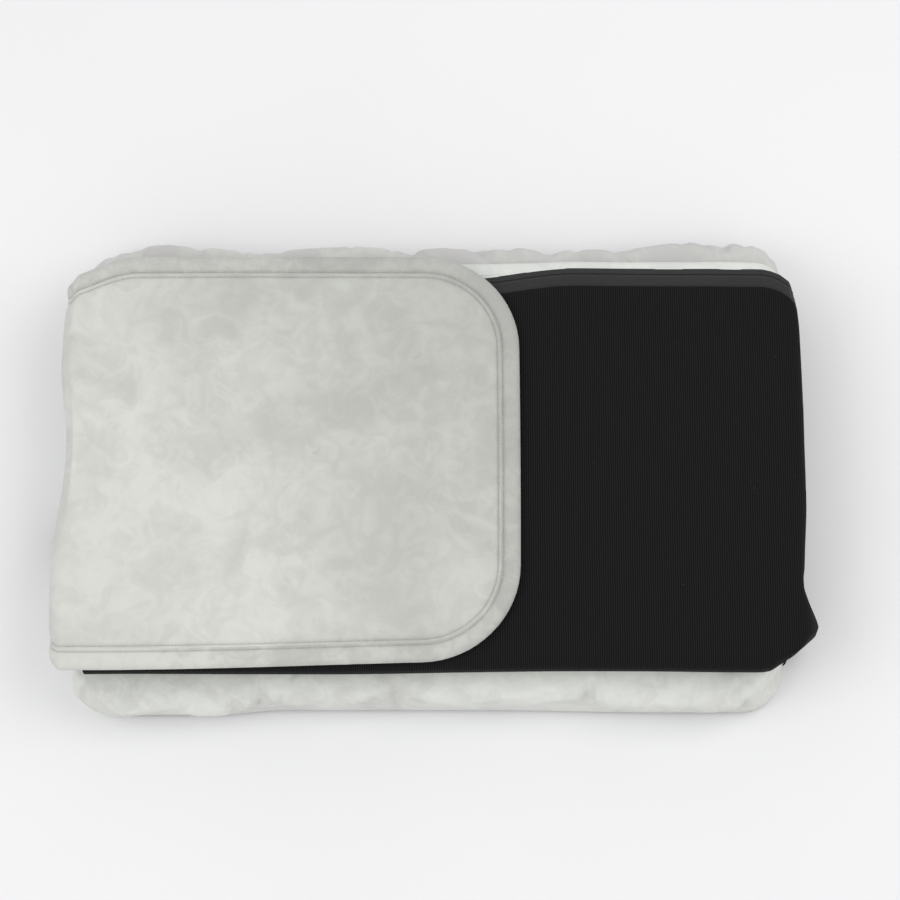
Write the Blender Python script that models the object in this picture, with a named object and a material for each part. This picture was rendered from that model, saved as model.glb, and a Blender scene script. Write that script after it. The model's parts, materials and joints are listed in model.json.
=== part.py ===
"""Infrared sauna blanket, folded in three for storage.

The mat is doubled lengthwise and folded like a letter Z: a lower panel, a fold on the right,
an upper panel, a fold on the left and a head flap on top.  One face of the mat is velour and
the other is black rib knit, with a zip along the back edge.  Metres, +Z up, +X along the
bundle, +Y to the back.  The origin is the middle of the underside.
"""
import math

import bmesh
import bpy
from mathutils import Vector

# Overall sizes of the folded bundle
BUNDLE_LENGTH = 0.760
BUNDLE_DEPTH = 0.486

# Thickness of the three layers, and the air between them
LOWER_THICKNESS = 0.058
UPPER_THICKNESS = 0.0394
FLAP_THICKNESS = 0.0134
LAYER_GAP = 0.0006
CLEARANCE = 0.0003

# Upper panel and flap are narrower than the lower panel, and sit a little to the back
UPPER_NARROWER = 0.064
UPPER_SHIFT = 0.003
LOWER_LEFT_SETBACK = 0.016
FOLD_DEPTH = 0.0237
FLAP_REACH = 0.463
FLAP_CORNER_RADIUS = 0.095

# Covers
COVER_WALL = 0.003
KNIT_SHEET_THICKNESS = 0.002
SIDE_BULGE = 0.010
FLAT_ABOVE_ZIP = 0.004
TOP_ROUNDING = 0.028
LOWER_CORNER_RADIUS = 0.050
UPPER_CORNER_RADIUS = 0.030
KNIT_BELOW_SHOULDER = 0.0017
SHOULDER_LIP = 0.002
SHOULDER_ANGLE = 31.0
HEM_RISE = 0.003
FOLD_END_RADIUS = 0.014
BINDING_WIDTH = 0.020
LINING_THICKNESS = 0.0014
FLAP_COVER_THICKNESS = 0.003

# Filling and heating layers
FOIL_THICKNESS = 0.001
FILM_THICKNESS = 0.0012
BUS_BAR_THICKNESS = 0.001
BUS_BAR_WIDTH = 0.014
BUS_BAR_FROM_EDGE = 0.030
FILLING_CLEARANCE = 0.0045
LOWER_FELT_THICKNESS = 0.0194
UPPER_WADDING_THICKNESS = 0.010
SENSOR_BAY = 0.0065
UPPER_SENSOR_BAY = 0.0035
THERMOSTAT_SIZE = (0.030, 0.014, 0.0055)
LOWER_SENSOR_RADIUS = 0.0025
UPPER_SENSOR_RADIUS = 0.0012
FUSE_SIZE = (0.026, 0.006, 0.0026)
SENSOR_LENGTH = 0.024

# Controller inlet in the left end of the lower panel
INLET_BAY = 0.034
INLET_WIDTH = 0.040
INLET_HEIGHT = 0.0165
INLET_PROUD = 0.024
INLET_WALL = 0.003
INLET_SOCKET_DEPTH = 0.014
INLET_POSITION_Y = -0.060
INLET_FOOT = 0.00035
INLET_BEZEL_WIDTH = 0.0038
INLET_BEZEL_THICKNESS = 0.0022
PIN_RADIUS = 0.0015
PIN_PITCH = 0.009
PIN_PROUD = 0.005
LEAD_RADIUS = 0.0014

# Zip
ZIP_BAND = 0.019
ZIP_MARGIN = 0.00216
ZIP_TAPE_GAP = 0.0018
ZIP_TAPE_THICKNESS = 0.001
ZIP_COIL_WIDTH = 0.0067
ZIP_COIL_THICKNESS = 0.0024
LOWER_ZIP_TOP = 0.0260
ZIP_END_MARGIN = 0.029
SLIDER_START = -0.300
SLIDER_LENGTH = 0.015
SLIDER_WALL = 0.0015
SLIDER_PLATE = 0.0011
BRIDGE_LENGTH = 0.009
BRIDGE_WIDTH = 0.003
BRIDGE_GAP = 0.0025
BRIDGE_THICKNESS = 0.0010
TAB_LENGTH = 0.032
TAB_WIDTH = 0.009
TAB_THICKNESS = 0.0012
TAB_BAR = 0.0016
TAB_EYE_LENGTH = 0.0062
STOP_LENGTH = 0.005

CORNER_STEPS = 4

# Places worked out from the sizes
RIGHT = BUNDLE_LENGTH / 2
LEFT = -BUNDLE_LENGTH / 2
BACK = BUNDLE_DEPTH / 2
PANEL_RIGHT = RIGHT - FOLD_DEPTH - CLEARANCE
PANEL_LEFT = LEFT + FOLD_DEPTH + CLEARANCE
LOWER_BOX = (LEFT + LOWER_LEFT_SETBACK, PANEL_RIGHT, -BACK, BACK)
UPPER_FRONT = -BACK + UPPER_NARROWER / 2 + UPPER_SHIFT
UPPER_BACK = BACK - UPPER_NARROWER / 2 + UPPER_SHIFT
UPPER_BOX = (PANEL_LEFT, PANEL_RIGHT, UPPER_FRONT, UPPER_BACK)
UPPER_BOTTOM = LOWER_THICKNESS + LAYER_GAP
UPPER_TOP = UPPER_BOTTOM + UPPER_THICKNESS
FLAP_BOTTOM = UPPER_TOP + LAYER_GAP
FLAP_TOP = FLAP_BOTTOM + FLAP_THICKNESS
FLAP_RIGHT = LEFT + FLAP_REACH

# The sloping shoulder of the knit is as wide as the zip and its margins
SHOULDER_LENGTH = ZIP_BAND + 2 * ZIP_MARGIN
SHOULDER_WIDTH = SHOULDER_LENGTH * math.cos(math.radians(SHOULDER_ANGLE))
SHOULDER_DROP = SHOULDER_LENGTH * math.sin(math.radians(SHOULDER_ANGLE))
KNIT_CAP_HEIGHT = SHOULDER_DROP + KNIT_BELOW_SHOULDER

# The inlet stands just above the hem, on the flat part of the lower cover's wall
HEM = KNIT_SHEET_THICKNESS + CLEARANCE
INLET_POSITION_Z = HEM + HEM_RISE + INLET_FOOT + INLET_BEZEL_WIDTH + INLET_HEIGHT / 2
INLET_TOP = INLET_POSITION_Z + INLET_HEIGHT / 2 + INLET_BEZEL_WIDTH
FLAT_TOP = max(LOWER_ZIP_TOP + FLAT_ABOVE_ZIP, INLET_TOP + CLEARANCE / 2)

# Fold lines lie on the outer face, as far below the top as above the bottom
RIGHT_FOLD_BOTTOM = 0.024
RIGHT_FOLD_TOP = FLAP_TOP - RIGHT_FOLD_BOTTOM
LEFT_FOLD_BOTTOM = UPPER_BOTTOM + 0.0004
LEFT_FOLD_TOP = FLAP_TOP - 0.008

VELOUR = ("velour", (0.60, 0.61, 0.58), 0.95, 0.0)
KNIT = ("black_knit", (0.012, 0.012, 0.013), 0.95, 0.0)
BINDING = ("binding_velour", (0.48, 0.48, 0.46), 0.9, 0.0)
WADDING = ("wadding", (0.82, 0.82, 0.80), 1.0, 0.0)
FOIL = ("foil", (0.78, 0.78, 0.80), 0.25, 1.0)
FILM = ("carbon_film", (0.03, 0.03, 0.035), 0.5, 0.0)
COPPER = ("copper", (0.72, 0.42, 0.26), 0.35, 1.0)
PLASTIC = ("black_plastic", (0.02, 0.02, 0.02), 0.45, 0.0)
TAPE = ("zip_tape", (0.018, 0.018, 0.020), 0.85, 0.0)
COIL = ("zip_coil", (0.015, 0.015, 0.016), 0.35, 0.0)
METAL = ("black_nickel", (0.10, 0.10, 0.11), 0.3, 1.0)
LEAD = ("lead_cover", (0.70, 0.70, 0.68), 0.5, 0.0)


def clear_scene():
    for thing in list(bpy.data.objects):
        bpy.data.objects.remove(thing, do_unlink=True)


def make_material(finish):
    name, colour, roughness, metallic = finish
    material = bpy.data.materials.get(name)
    if material is None:
        material = bpy.data.materials.new(name)
        material.use_nodes = True
        shader = material.node_tree.nodes["Principled BSDF"]
        shader.inputs["Base Color"].default_value = (*colour, 1.0)
        shader.inputs["Roughness"].default_value = roughness
        shader.inputs["Metallic"].default_value = metallic
        material.diffuse_color = (*colour, 1.0)
    return material


def make_empty(name, place, parent=None):
    empty = bpy.data.objects.new(name, None)
    bpy.context.scene.collection.objects.link(empty)
    if parent is not None:
        empty.parent = parent
        empty.location = Vector(place) - Vector(world_place(parent))
    else:
        empty.location = place
    return empty


def world_place(thing):
    place = Vector(thing.location)
    while thing.parent is not None:
        thing = thing.parent
        place += Vector(thing.location)
    return place


def add_object(name, bm, finish, parent, smooth=True):
    """Close the mesh, point its faces out and hang it from its body's empty."""
    bmesh.ops.recalc_face_normals(bm, faces=bm.faces)
    origin = world_place(parent)
    bmesh.ops.translate(bm, verts=bm.verts, vec=-origin)
    mesh = bpy.data.meshes.new(name)
    bm.to_mesh(mesh)
    bm.free()
    mesh.materials.append(make_material(finish))
    if smooth:
        mesh.shade_smooth()
        mesh.set_sharp_from_angle(angle=math.radians(35))
    thing = bpy.data.objects.new(name, mesh)
    bpy.context.scene.collection.objects.link(thing)
    thing.parent = parent
    return thing


def rounded_outline(box, radii, inset=0.0, steps=CORNER_STEPS):
    """Counter-clockwise outline of a rectangle with a radius for each corner.

    The corners come in the order front left, front right, back right, back left.
    """
    x0, x1, y0, y1 = box
    x0, x1, y0, y1 = x0 + inset, x1 - inset, y0 + inset, y1 - inset
    corners = ((x0, y0, 1, 1, 180), (x1, y0, -1, 1, 270), (x1, y1, -1, -1, 0), (x0, y1, 1, -1, 90))
    points = []
    for (x, y, side_x, side_y, start), radius in zip(corners, radii):
        if radius <= 0:
            points.append((x, y))
            continue
        reach = max(radius - inset, 0.002)
        for step in range(steps + 1):
            angle = math.radians(start + 90 * step / steps)
            centre_x = x + side_x * reach
            centre_y = y + side_y * reach
            points.append((centre_x + reach * math.cos(angle), centre_y + reach * math.sin(angle)))
    return points


def loft(name, rings, finish, parent):
    """Solid through rings of equal point counts, with the first and the last one filled."""
    bm = bmesh.new()
    rows = [[bm.verts.new(point) for point in ring] for ring in rings]
    count = len(rows[0])
    for row, following in zip(rows, rows[1:]):
        for i in range(count):
            j = (i + 1) % count
            bm.faces.new((row[i], row[j], following[j], following[i]))
    bm.faces.new(rows[0])
    bm.faces.new(rows[-1])
    return add_object(name, bm, finish, parent)


def layered(name, box, radius, levels, finish, parent):
    """Solid from rounded rectangles stacked in Z; levels are pairs of height and inset."""
    rings = []
    for height, inset in levels:
        outline = rounded_outline(box, (radius,) * 4, inset)
        rings.append([(x, y, height) for x, y in outline])
    return loft(name, rings, finish, parent)


def slab(name, box, radius, bottom, top, finish, parent, inset=0.0):
    return layered(name, box, radius, ((bottom, inset), (top, inset)), finish, parent)


def prism(name, profile, along, start, end, finish, parent):
    """Solid with the same outline from start to end along one axis, named by its letter."""
    place = {
        "x": lambda a, b, t: (t, a, b),
        "y": lambda a, b, t: (a, t, b),
        "z": lambda a, b, t: (a, b, t),
    }[along]
    rings = [[place(a, b, t) for a, b in profile] for t in (start, end)]
    return loft(name, rings, finish, parent)


def block(name, low, high, finish, parent, edge=0.0):
    """Box between two corners, with its upright edges rounded when edge is given."""
    box = (low[0], high[0], low[1], high[1])
    return slab(name, box, edge, low[2], high[2], finish, parent)


def rod(name, start, end, radius, finish, parent, sides=10):
    """Round bar between two points."""
    start, end = Vector(start), Vector(end)
    direction = end - start
    bm = bmesh.new()
    bmesh.ops.create_cone(bm, cap_ends=True, segments=sides, radius1=radius, radius2=radius,
                          depth=direction.length)
    turn = Vector((0, 0, 1)).rotation_difference(direction).to_matrix()
    bmesh.ops.rotate(bm, verts=bm.verts, matrix=turn, cent=(0, 0, 0))
    bmesh.ops.translate(bm, verts=bm.verts, vec=(start + end) / 2)
    return add_object(name, bm, finish, parent)


def cut_or_join(target, tool, operation):
    """Boolean of one object with a hidden tool object."""
    tool.hide_render = True
    tool.display_type = "WIRE"
    modifier = target.modifiers.new(operation.lower(), "BOOLEAN")
    modifier.operation = operation
    modifier.solver = "EXACT"
    modifier.object = tool


def quarter_round(inner, outer_x, outer_z, radius, steps=5):
    """Profile of a block seen from the front, with its outer corner rounded."""
    inner_x, inner_z = inner
    side_x = 1 if outer_x > inner_x else -1
    side_z = 1 if outer_z > inner_z else -1
    points = [(inner_x, inner_z), (outer_x, inner_z)]
    for step in range(steps + 1):
        angle = math.radians(90 * step / steps)
        x = outer_x - side_x * radius * (1 - math.cos(angle))
        z = outer_z - side_z * radius * (1 - math.sin(angle))
        points.append((x, z))
    points.append((inner_x, outer_z))
    return points


def lower_side():
    """Height and inset of the lower velour cover's outside, from its hem to its top.

    The wall is flat past the zip and bulges between there and the top.
    """
    rise = LOWER_THICKNESS - FLAT_TOP
    bulge = ((0.0, 1.0), (0.21, 0.3), (0.38, 0.0), (0.50, 0.0), (0.71, 0.3), (0.89, 1.1))
    levels = [(HEM, SIDE_BULGE + 0.0015), (HEM + HEM_RISE, SIDE_BULGE)]
    levels += [(FLAT_TOP + rise * share, SIDE_BULGE * inset) for share, inset in bulge]
    levels.append((LOWER_THICKNESS, TOP_ROUNDING))
    return tuple(levels)


def make_lower_covers(body):
    inner = SIDE_BULGE + COVER_WALL + 0.0005
    ceiling = LOWER_THICKNESS - COVER_WALL
    inside = ((ceiling, TOP_ROUNDING), (ceiling - 0.005, inner), (HEM, inner))
    shell = layered("lower_velour_cover", LOWER_BOX, LOWER_CORNER_RADIUS, inside + lower_side(),
                    VELOUR, body)
    layered("lower_knit_sheet", LOWER_BOX, LOWER_CORNER_RADIUS,
            ((0.0, SIDE_BULGE + 0.002), (KNIT_SHEET_THICKNESS, SIDE_BULGE + 0.001)), KNIT, body)
    profile = quarter_round((PANEL_RIGHT - SIDE_BULGE + CLEARANCE, RIGHT_FOLD_BOTTOM - CLEARANCE),
                            RIGHT, CLEARANCE, FOLD_END_RADIUS)
    low_back = BACK - SIDE_BULGE
    prism("lower_fold_edge", profile, "y", -low_back, low_back, KNIT, body)
    return shell


def make_filling(prefix, box, radius, inset, felt, film_from, body):
    """Felt or wadding, foil, heating film and two bus bars, from the floor upwards."""
    left, right, front, back = box
    layered(felt[0], box, radius, felt[1], WADDING, body)
    foil_top = film_from + FOIL_THICKNESS
    slab(prefix + "_foil_reflector", box, radius, film_from, foil_top, FOIL, body, inset)
    film_bottom = foil_top + CLEARANCE
    film_top = film_bottom + FILM_THICKNESS
    slab(prefix + "_heating_film", box, radius, film_bottom, film_top, FILM, body, inset)
    bar_bottom = film_top + CLEARANCE
    for side, centre in (("front", front + inset + BUS_BAR_FROM_EDGE),
                         ("back", back - inset - BUS_BAR_FROM_EDGE)):
        low = (left + inset + radius, centre - BUS_BAR_WIDTH / 2, bar_bottom)
        high = (right - inset - radius, centre + BUS_BAR_WIDTH / 2, bar_bottom + BUS_BAR_THICKNESS)
        block(prefix + "_bus_bar_" + side, low, high, COPPER, body)
    return bar_bottom


def make_lower_filling(body):
    inner = SIDE_BULGE + COVER_WALL + FILLING_CLEARANCE
    bay_box = (LOWER_BOX[0] + INLET_BAY, LOWER_BOX[1], LOWER_BOX[2], LOWER_BOX[3])
    felt_bottom = KNIT_SHEET_THICKNESS + 2 * CLEARANCE
    felt_top = felt_bottom + LOWER_FELT_THICKNESS
    felt = ("lower_insulation_felt", ((felt_bottom, inner), (felt_top, inner)))
    bars = make_filling("lower", bay_box, LOWER_CORNER_RADIUS, inner, felt, felt_top + CLEARANCE, body)
    wadding_bottom = bars + SENSOR_BAY
    wadding_top = LOWER_THICKNESS - COVER_WALL - CLEARANCE
    layered("lower_wadding", LOWER_BOX, LOWER_CORNER_RADIUS,
            ((wadding_bottom, inner), (wadding_top - 0.006, inner),
             (wadding_top, TOP_ROUNDING + 0.002)), WADDING, body)
    half = [size / 2 for size in THERMOSTAT_SIZE]
    block("lower_thermostat", (-half[0], -half[1], bars), (half[0], half[1], bars + THERMOSTAT_SIZE[2]),
          PLASTIC, body, edge=0.003)
    height = bars + LOWER_SENSOR_RADIUS
    rod("lower_temperature_sensor", (0.12, 0.05, height), (0.12 + SENSOR_LENGTH, 0.05, height),
        LOWER_SENSOR_RADIUS, COPPER, body)
    return bars


def make_inlet(body, shell, bars):
    """Boss with a socket and three pins, its bezel, and two leads to the bus bars."""
    wall_x = LOWER_BOX[0] + SIDE_BULGE
    mouth = wall_x - INLET_PROUD
    rear = LOWER_BOX[0] + INLET_BAY - 0.002
    low_y, high_y = INLET_POSITION_Y - INLET_WIDTH / 2, INLET_POSITION_Y + INLET_WIDTH / 2
    low_z, high_z = INLET_POSITION_Z - INLET_HEIGHT / 2, INLET_POSITION_Z + INLET_HEIGHT / 2
    outer = rounded_outline((low_y, high_y, low_z, high_z), (0.004,) * 4, 0.0, 3)
    inner = rounded_outline((low_y, high_y, low_z, high_z), (0.006,) * 4, INLET_WALL, 3)
    floor = mouth + INLET_SOCKET_DEPTH
    rings = [[(floor, y, z) for y, z in inner], [(mouth, y, z) for y, z in inner],
             [(mouth, y, z) for y, z in outer], [(rear, y, z) for y, z in outer]]
    housing = loft("inlet_housing", rings, PLASTIC, body)

    reach = CLEARANCE
    window = rounded_outline((low_y, high_y, low_z, high_z), (0.004,) * 4, -reach, 3)
    cutter = prism("inlet_window", window, "x", mouth, rear, PLASTIC, body)
    cut_or_join(shell, cutter, "DIFFERENCE")

    flange = rounded_outline((low_y, high_y, low_z, high_z), (0.006,) * 4, -INLET_BEZEL_WIDTH, 3)
    plate_end = wall_x - CLEARANCE
    plate_start = plate_end - INLET_BEZEL_THICKNESS
    rings = [[(x, y, z) for y, z in outline] for x, outline in
             ((plate_start, window), (plate_start, flange), (plate_end, flange), (plate_end, window))]
    ring_solid("inlet_bezel", rings, PLASTIC, body)

    for name, offset in (("inlet_pin_live", -1), ("inlet_pin_sensor", 0), ("inlet_pin_neutral", 1)):
        y = INLET_POSITION_Y + offset * PIN_PITCH
        hole = rod(name + "_hole", (floor - 0.002, y, INLET_POSITION_Z), (rear + 0.002, y, INLET_POSITION_Z),
                   PIN_RADIUS + CLEARANCE, PLASTIC, body)
        cut_or_join(housing, hole, "DIFFERENCE")
        rod(name, (floor - PIN_PROUD, y, INLET_POSITION_Z), (rear, y, INLET_POSITION_Z),
            PIN_RADIUS, COPPER, body)

    inner_edge = SIDE_BULGE + COVER_WALL + FILLING_CLEARANCE
    bar_left = LOWER_BOX[0] + INLET_BAY + inner_edge + LOWER_CORNER_RADIUS
    start_x = rear + CLEARANCE
    lane = LOWER_BOX[0] + INLET_BAY + inner_edge
    film_top = bars - CLEARANCE
    height = film_top + CLEARANCE + LEAD_RADIUS
    for side, offset, end_y in (("front", -1, -1), ("back", 1, 1)):
        pin_y = INLET_POSITION_Y + offset * PIN_PITCH
        bar_y = end_y * (BACK - inner_edge - BUS_BAR_FROM_EDGE)
        turn = lane + 0.016
        route = [(start_x, pin_y, INLET_POSITION_Z), (start_x + 0.005, pin_y, INLET_POSITION_Z),
                 (lane - 0.006, pin_y + offset * 0.002, height), (turn, pin_y + offset * 0.012, height),
                 (turn + 0.004, (pin_y + bar_y) / 2, height),
                 (turn + 0.008, bar_y - end_y * 0.012, height), (bar_left - 0.012, bar_y, height),
                 (bar_left - CLEARANCE, bar_y, height)]
        tube("inlet_lead_" + side, route, LEAD_RADIUS, LEAD, body)


def ring_solid(name, rings, finish, parent):
    """Closed ring through four or more outlines, the last joined to the first."""
    bm = bmesh.new()
    rows = [[bm.verts.new(point) for point in ring] for ring in rings]
    count = len(rows[0])
    for row, following in zip(rows, rows[1:] + rows[:1]):
        for i in range(count):
            j = (i + 1) % count
            bm.faces.new((row[i], row[j], following[j], following[i]))
    return add_object(name, bm, finish, parent)


def smooth_route(points, between=3):
    """Points on a Catmull-Rom curve through the given ones."""
    path = [Vector(point) for point in points]
    padded = [path[0]] + path + [path[-1]]
    result = []
    for i in range(1, len(padded) - 2):
        a, b, c, d = padded[i - 1:i + 3]
        for step in range(between):
            t = step / between
            result.append(0.5 * ((2 * b) + (c - a) * t + (2 * a - 5 * b + 4 * c - d) * t * t
                                 + (3 * b - a - 3 * c + d) * t * t * t))
    result.append(path[-1])
    return result


def tube(name, route, radius, finish, parent):
    curve = bpy.data.curves.new(name, "CURVE")
    curve.dimensions = "3D"
    curve.bevel_depth = radius
    curve.bevel_resolution = 2
    curve.use_fill_caps = True
    spline = curve.splines.new("POLY")
    points = smooth_route(route)
    spline.points.add(len(points) - 1)
    origin = world_place(parent)
    for point, place in zip(spline.points, points):
        point.co = (*(place - origin), 1.0)
    curve.materials.append(make_material(finish))
    thing = bpy.data.objects.new(name, curve)
    bpy.context.scene.collection.objects.link(thing)
    thing.parent = parent
    return thing


def zip_run(prefix, along, start, end, corner, across, out, body, names):
    """Two tapes and the closed coil between them, on a flat band.

    corner is the band's velour edge, across points over the band and out points off it; all
    three are pairs in the plane at right angles to the run.
    """
    def strip(name, s0, s1, n0, n1, finish):
        profile = [(corner[0] + across[0] * s + out[0] * n, corner[1] + across[1] * s + out[1] * n)
                   for s, n in ((s0, n0), (s1, n0), (s1, n1), (s0, n1))]
        return prism(prefix + name, profile, along, start, end, finish, body)

    middle = ZIP_BAND / 2
    tape_top = CLEARANCE + ZIP_TAPE_THICKNESS
    strip(names[0], 0.0, middle - ZIP_TAPE_GAP / 2, CLEARANCE, tape_top, TAPE)
    strip(names[1], middle + ZIP_TAPE_GAP / 2, ZIP_BAND, CLEARANCE, tape_top, TAPE)
    coil_bottom = tape_top + CLEARANCE
    strip(names[2], middle - ZIP_COIL_WIDTH / 2, middle + ZIP_COIL_WIDTH / 2, coil_bottom,
          coil_bottom + ZIP_COIL_THICKNESS, COIL)


ZIP_NAMES = ("_zip_tape_velour_side", "_zip_tape_knit_side", "_zip_coil")


def make_lower_zip(body):
    wall_y = BACK - SIDE_BULGE
    start = LOWER_BOX[0] + LOWER_CORNER_RADIUS
    end = LOWER_BOX[1] - LOWER_CORNER_RADIUS
    zip_run("lower", "x", start, end, (wall_y, LOWER_ZIP_TOP), (0, -1), (1, 0), body, ZIP_NAMES)
    centre = LOWER_ZIP_TOP - ZIP_BAND / 2
    tape_top = wall_y + CLEARANCE + ZIP_TAPE_THICKNESS
    half = ZIP_COIL_WIDTH / 2 + 0.001
    block("lower_zip_stop", (start - STOP_LENGTH, wall_y + CLEARANCE, centre - half),
          (start - CLEARANCE, tape_top + ZIP_COIL_THICKNESS, centre + half), METAL, body)


def make_slider(slide_body, pull_body):
    """Slider straddling the coil, with the bridge that holds the pull tab."""
    wall_y = BACK - SIDE_BULGE
    centre = LOWER_ZIP_TOP - ZIP_BAND / 2
    foot = wall_y + 2 * CLEARANCE + ZIP_TAPE_THICKNESS
    ceiling = foot + ZIP_COIL_THICKNESS + CLEARANCE
    top = ceiling + SLIDER_PLATE
    inner = ZIP_COIL_WIDTH / 2 + CLEARANCE
    outer = inner + SLIDER_WALL
    profile = [(foot, centre - outer), (foot, centre - inner), (ceiling, centre - inner),
               (ceiling, centre + inner), (foot, centre + inner), (foot, centre + outer),
               (top, centre + outer), (top, centre - outer)]
    half = SLIDER_LENGTH / 2
    slider = prism("zip_slider_body", profile, "x", SLIDER_START - half, SLIDER_START + half, METAL,
                   slide_body)
    arch_half = BRIDGE_LENGTH / 2
    sunk = top - SLIDER_PLATE / 2
    under = top + BRIDGE_GAP
    over = under + BRIDGE_THICKNESS
    post = arch_half - BRIDGE_THICKNESS
    arch = [(SLIDER_START + x, y) for x, y in
            ((-arch_half, sunk), (-arch_half, over), (arch_half, over), (arch_half, sunk),
             (post, sunk), (post, under), (-post, under), (-post, sunk))]
    bridge = prism("slider_bridge", arch, "z", centre - BRIDGE_WIDTH / 2, centre + BRIDGE_WIDTH / 2,
                   METAL, slide_body)
    cut_or_join(slider, bridge, "UNION")

    bar_y = slider_bar_y()
    half_tab = TAB_WIDTH / 2
    low = SLIDER_START - TAB_LENGTH
    high = SLIDER_START + TAB_BAR / 2
    outline = rounded_outline((low, high, centre - half_tab, centre + half_tab),
                              (0.004, 0.0007, 0.0007, 0.004), 0.0, 4)
    tab = prism("zip_pull_tab", outline, "y", bar_y - TAB_THICKNESS / 2, bar_y + TAB_THICKNESS / 2,
                METAL, pull_body)
    eye_half = BRIDGE_WIDTH / 2 + 2 * CLEARANCE
    eye = block("pull_tab_eye", (high - TAB_BAR - TAB_EYE_LENGTH, bar_y - 0.005, centre - eye_half),
                (high - TAB_BAR, bar_y + 0.005, centre + eye_half), METAL, pull_body)
    cut_or_join(tab, eye, "DIFFERENCE")


def slider_bar_y():
    """Y of the pull tab's hinge bar, in the middle of the bridge's gap."""
    foot = BACK - SIDE_BULGE + 2 * CLEARANCE + ZIP_TAPE_THICKNESS
    return foot + ZIP_COIL_THICKNESS + CLEARANCE + SLIDER_PLATE + BRIDGE_GAP / 2


def make_right_fold(body):
    """Knit skin and wadding of the fold on the right, with the zip round its back corner."""
    bottom = RIGHT_FOLD_BOTTOM + CLEARANCE
    top = RIGHT_FOLD_TOP - CLEARANCE
    inner = RIGHT - FOLD_DEPTH
    skin = inner + (FOLD_DEPTH - SHOULDER_DROP) * 0.85
    front, back = UPPER_FRONT, UPPER_BACK
    knit = [(skin, front), (RIGHT - SHOULDER_DROP, front), (RIGHT, front + SHOULDER_WIDTH),
            (RIGHT, back - SHOULDER_WIDTH), (RIGHT - SHOULDER_DROP, back), (skin, back)]
    prism("right_fold_knit", knit, "z", bottom, top, KNIT, body)
    block("right_fold_wadding", (inner, front + 0.004, bottom), (skin - CLEARANCE, back - 0.004, top),
          WADDING, body)
    across = (SHOULDER_DROP / SHOULDER_LENGTH, -SHOULDER_WIDTH / SHOULDER_LENGTH)
    out = (-across[1], across[0])
    corner = (RIGHT - SHOULDER_DROP + across[0] * ZIP_MARGIN, back + across[1] * ZIP_MARGIN)
    zip_run("right_fold", "z", bottom, top, corner, across, out, body, ZIP_NAMES)


def make_upper_covers(body):
    hem = UPPER_TOP - KNIT_CAP_HEIGHT
    seam = hem - CLEARANCE
    floor = UPPER_BOTTOM + COVER_WALL
    wall = COVER_WALL + 0.0005
    levels = ((floor, 0.016), (floor + 0.004, wall), (seam, wall), (seam, 0.0),
              (UPPER_BOTTOM + 0.008, 0.0), (UPPER_BOTTOM + 0.003, 0.004), (UPPER_BOTTOM, 0.014))
    layered("upper_velour_cover", UPPER_BOX, UPPER_CORNER_RADIUS, levels, VELOUR, body)
    ceiling = UPPER_TOP - COVER_WALL
    levels = ((ceiling, SHOULDER_WIDTH + 0.004), (hem, 0.0062), (hem, SHOULDER_LIP),
              (UPPER_TOP - SHOULDER_DROP, SHOULDER_LIP), (UPPER_TOP, SHOULDER_WIDTH + SHOULDER_LIP))
    layered("upper_knit_cover", UPPER_BOX, UPPER_CORNER_RADIUS, levels, KNIT, body)
    profile = quarter_round((PANEL_RIGHT + CLEARANCE, RIGHT_FOLD_TOP + CLEARANCE), RIGHT, UPPER_TOP,
                            (UPPER_TOP - RIGHT_FOLD_TOP) * 0.9)
    prism("upper_fold_edge", profile, "y", UPPER_FRONT + SHOULDER_WIDTH, UPPER_BACK - SHOULDER_WIDTH,
          KNIT, body)


def make_upper_filling(body):
    inner = COVER_WALL + FILLING_CLEARANCE
    floor = UPPER_BOTTOM + COVER_WALL + CLEARANCE
    top = floor + UPPER_WADDING_THICKNESS
    wadding = ("upper_wadding", ((floor, 0.018), (floor + 0.005, inner), (top, inner)))
    bars = make_filling("upper", UPPER_BOX, UPPER_CORNER_RADIUS, inner, wadding, top + CLEARANCE, body)
    felt_bottom = bars + UPPER_SENSOR_BAY
    felt_top = UPPER_TOP - COVER_WALL - CLEARANCE
    hem = UPPER_TOP - KNIT_CAP_HEIGHT
    layered("upper_insulation_felt", UPPER_BOX, UPPER_CORNER_RADIUS,
            ((felt_bottom, 0.010), (hem, 0.010), (felt_top, SHOULDER_WIDTH + 0.008)), WADDING, body)
    half = [size / 2 for size in FUSE_SIZE]
    block("upper_thermal_fuse", (-half[0], -half[1], bars), (half[0], half[1], bars + FUSE_SIZE[2]),
          PLASTIC, body, edge=0.001)
    height = bars + UPPER_SENSOR_RADIUS
    rod("upper_temperature_sensor", (0.12, 0.05, height), (0.12 + SENSOR_LENGTH, 0.05, height),
        UPPER_SENSOR_RADIUS, COPPER, body)


def make_upper_zip(body):
    across = (-SHOULDER_WIDTH / SHOULDER_LENGTH, SHOULDER_DROP / SHOULDER_LENGTH)
    out = (across[1], -across[0])
    corner = (UPPER_BACK - SHOULDER_LIP + across[0] * ZIP_MARGIN,
              UPPER_TOP - SHOULDER_DROP + across[1] * ZIP_MARGIN)
    start = UPPER_BOX[0] + ZIP_END_MARGIN
    end = UPPER_BOX[1] - ZIP_END_MARGIN
    zip_run("upper", "x", start, end, corner, across, out, body, ZIP_NAMES)
    middle = ZIP_BAND / 2
    half = ZIP_COIL_WIDTH / 2 + 0.001
    high = CLEARANCE + ZIP_TAPE_THICKNESS + ZIP_COIL_THICKNESS
    profile = [(corner[0] + across[0] * s + out[0] * n, corner[1] + across[1] * s + out[1] * n)
               for s, n in ((middle - half, CLEARANCE), (middle + half, CLEARANCE),
                            (middle + half, high), (middle - half, high))]
    prism("upper_zip_stop", profile, "x", start - STOP_LENGTH, start - CLEARANCE, METAL, body)


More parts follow.
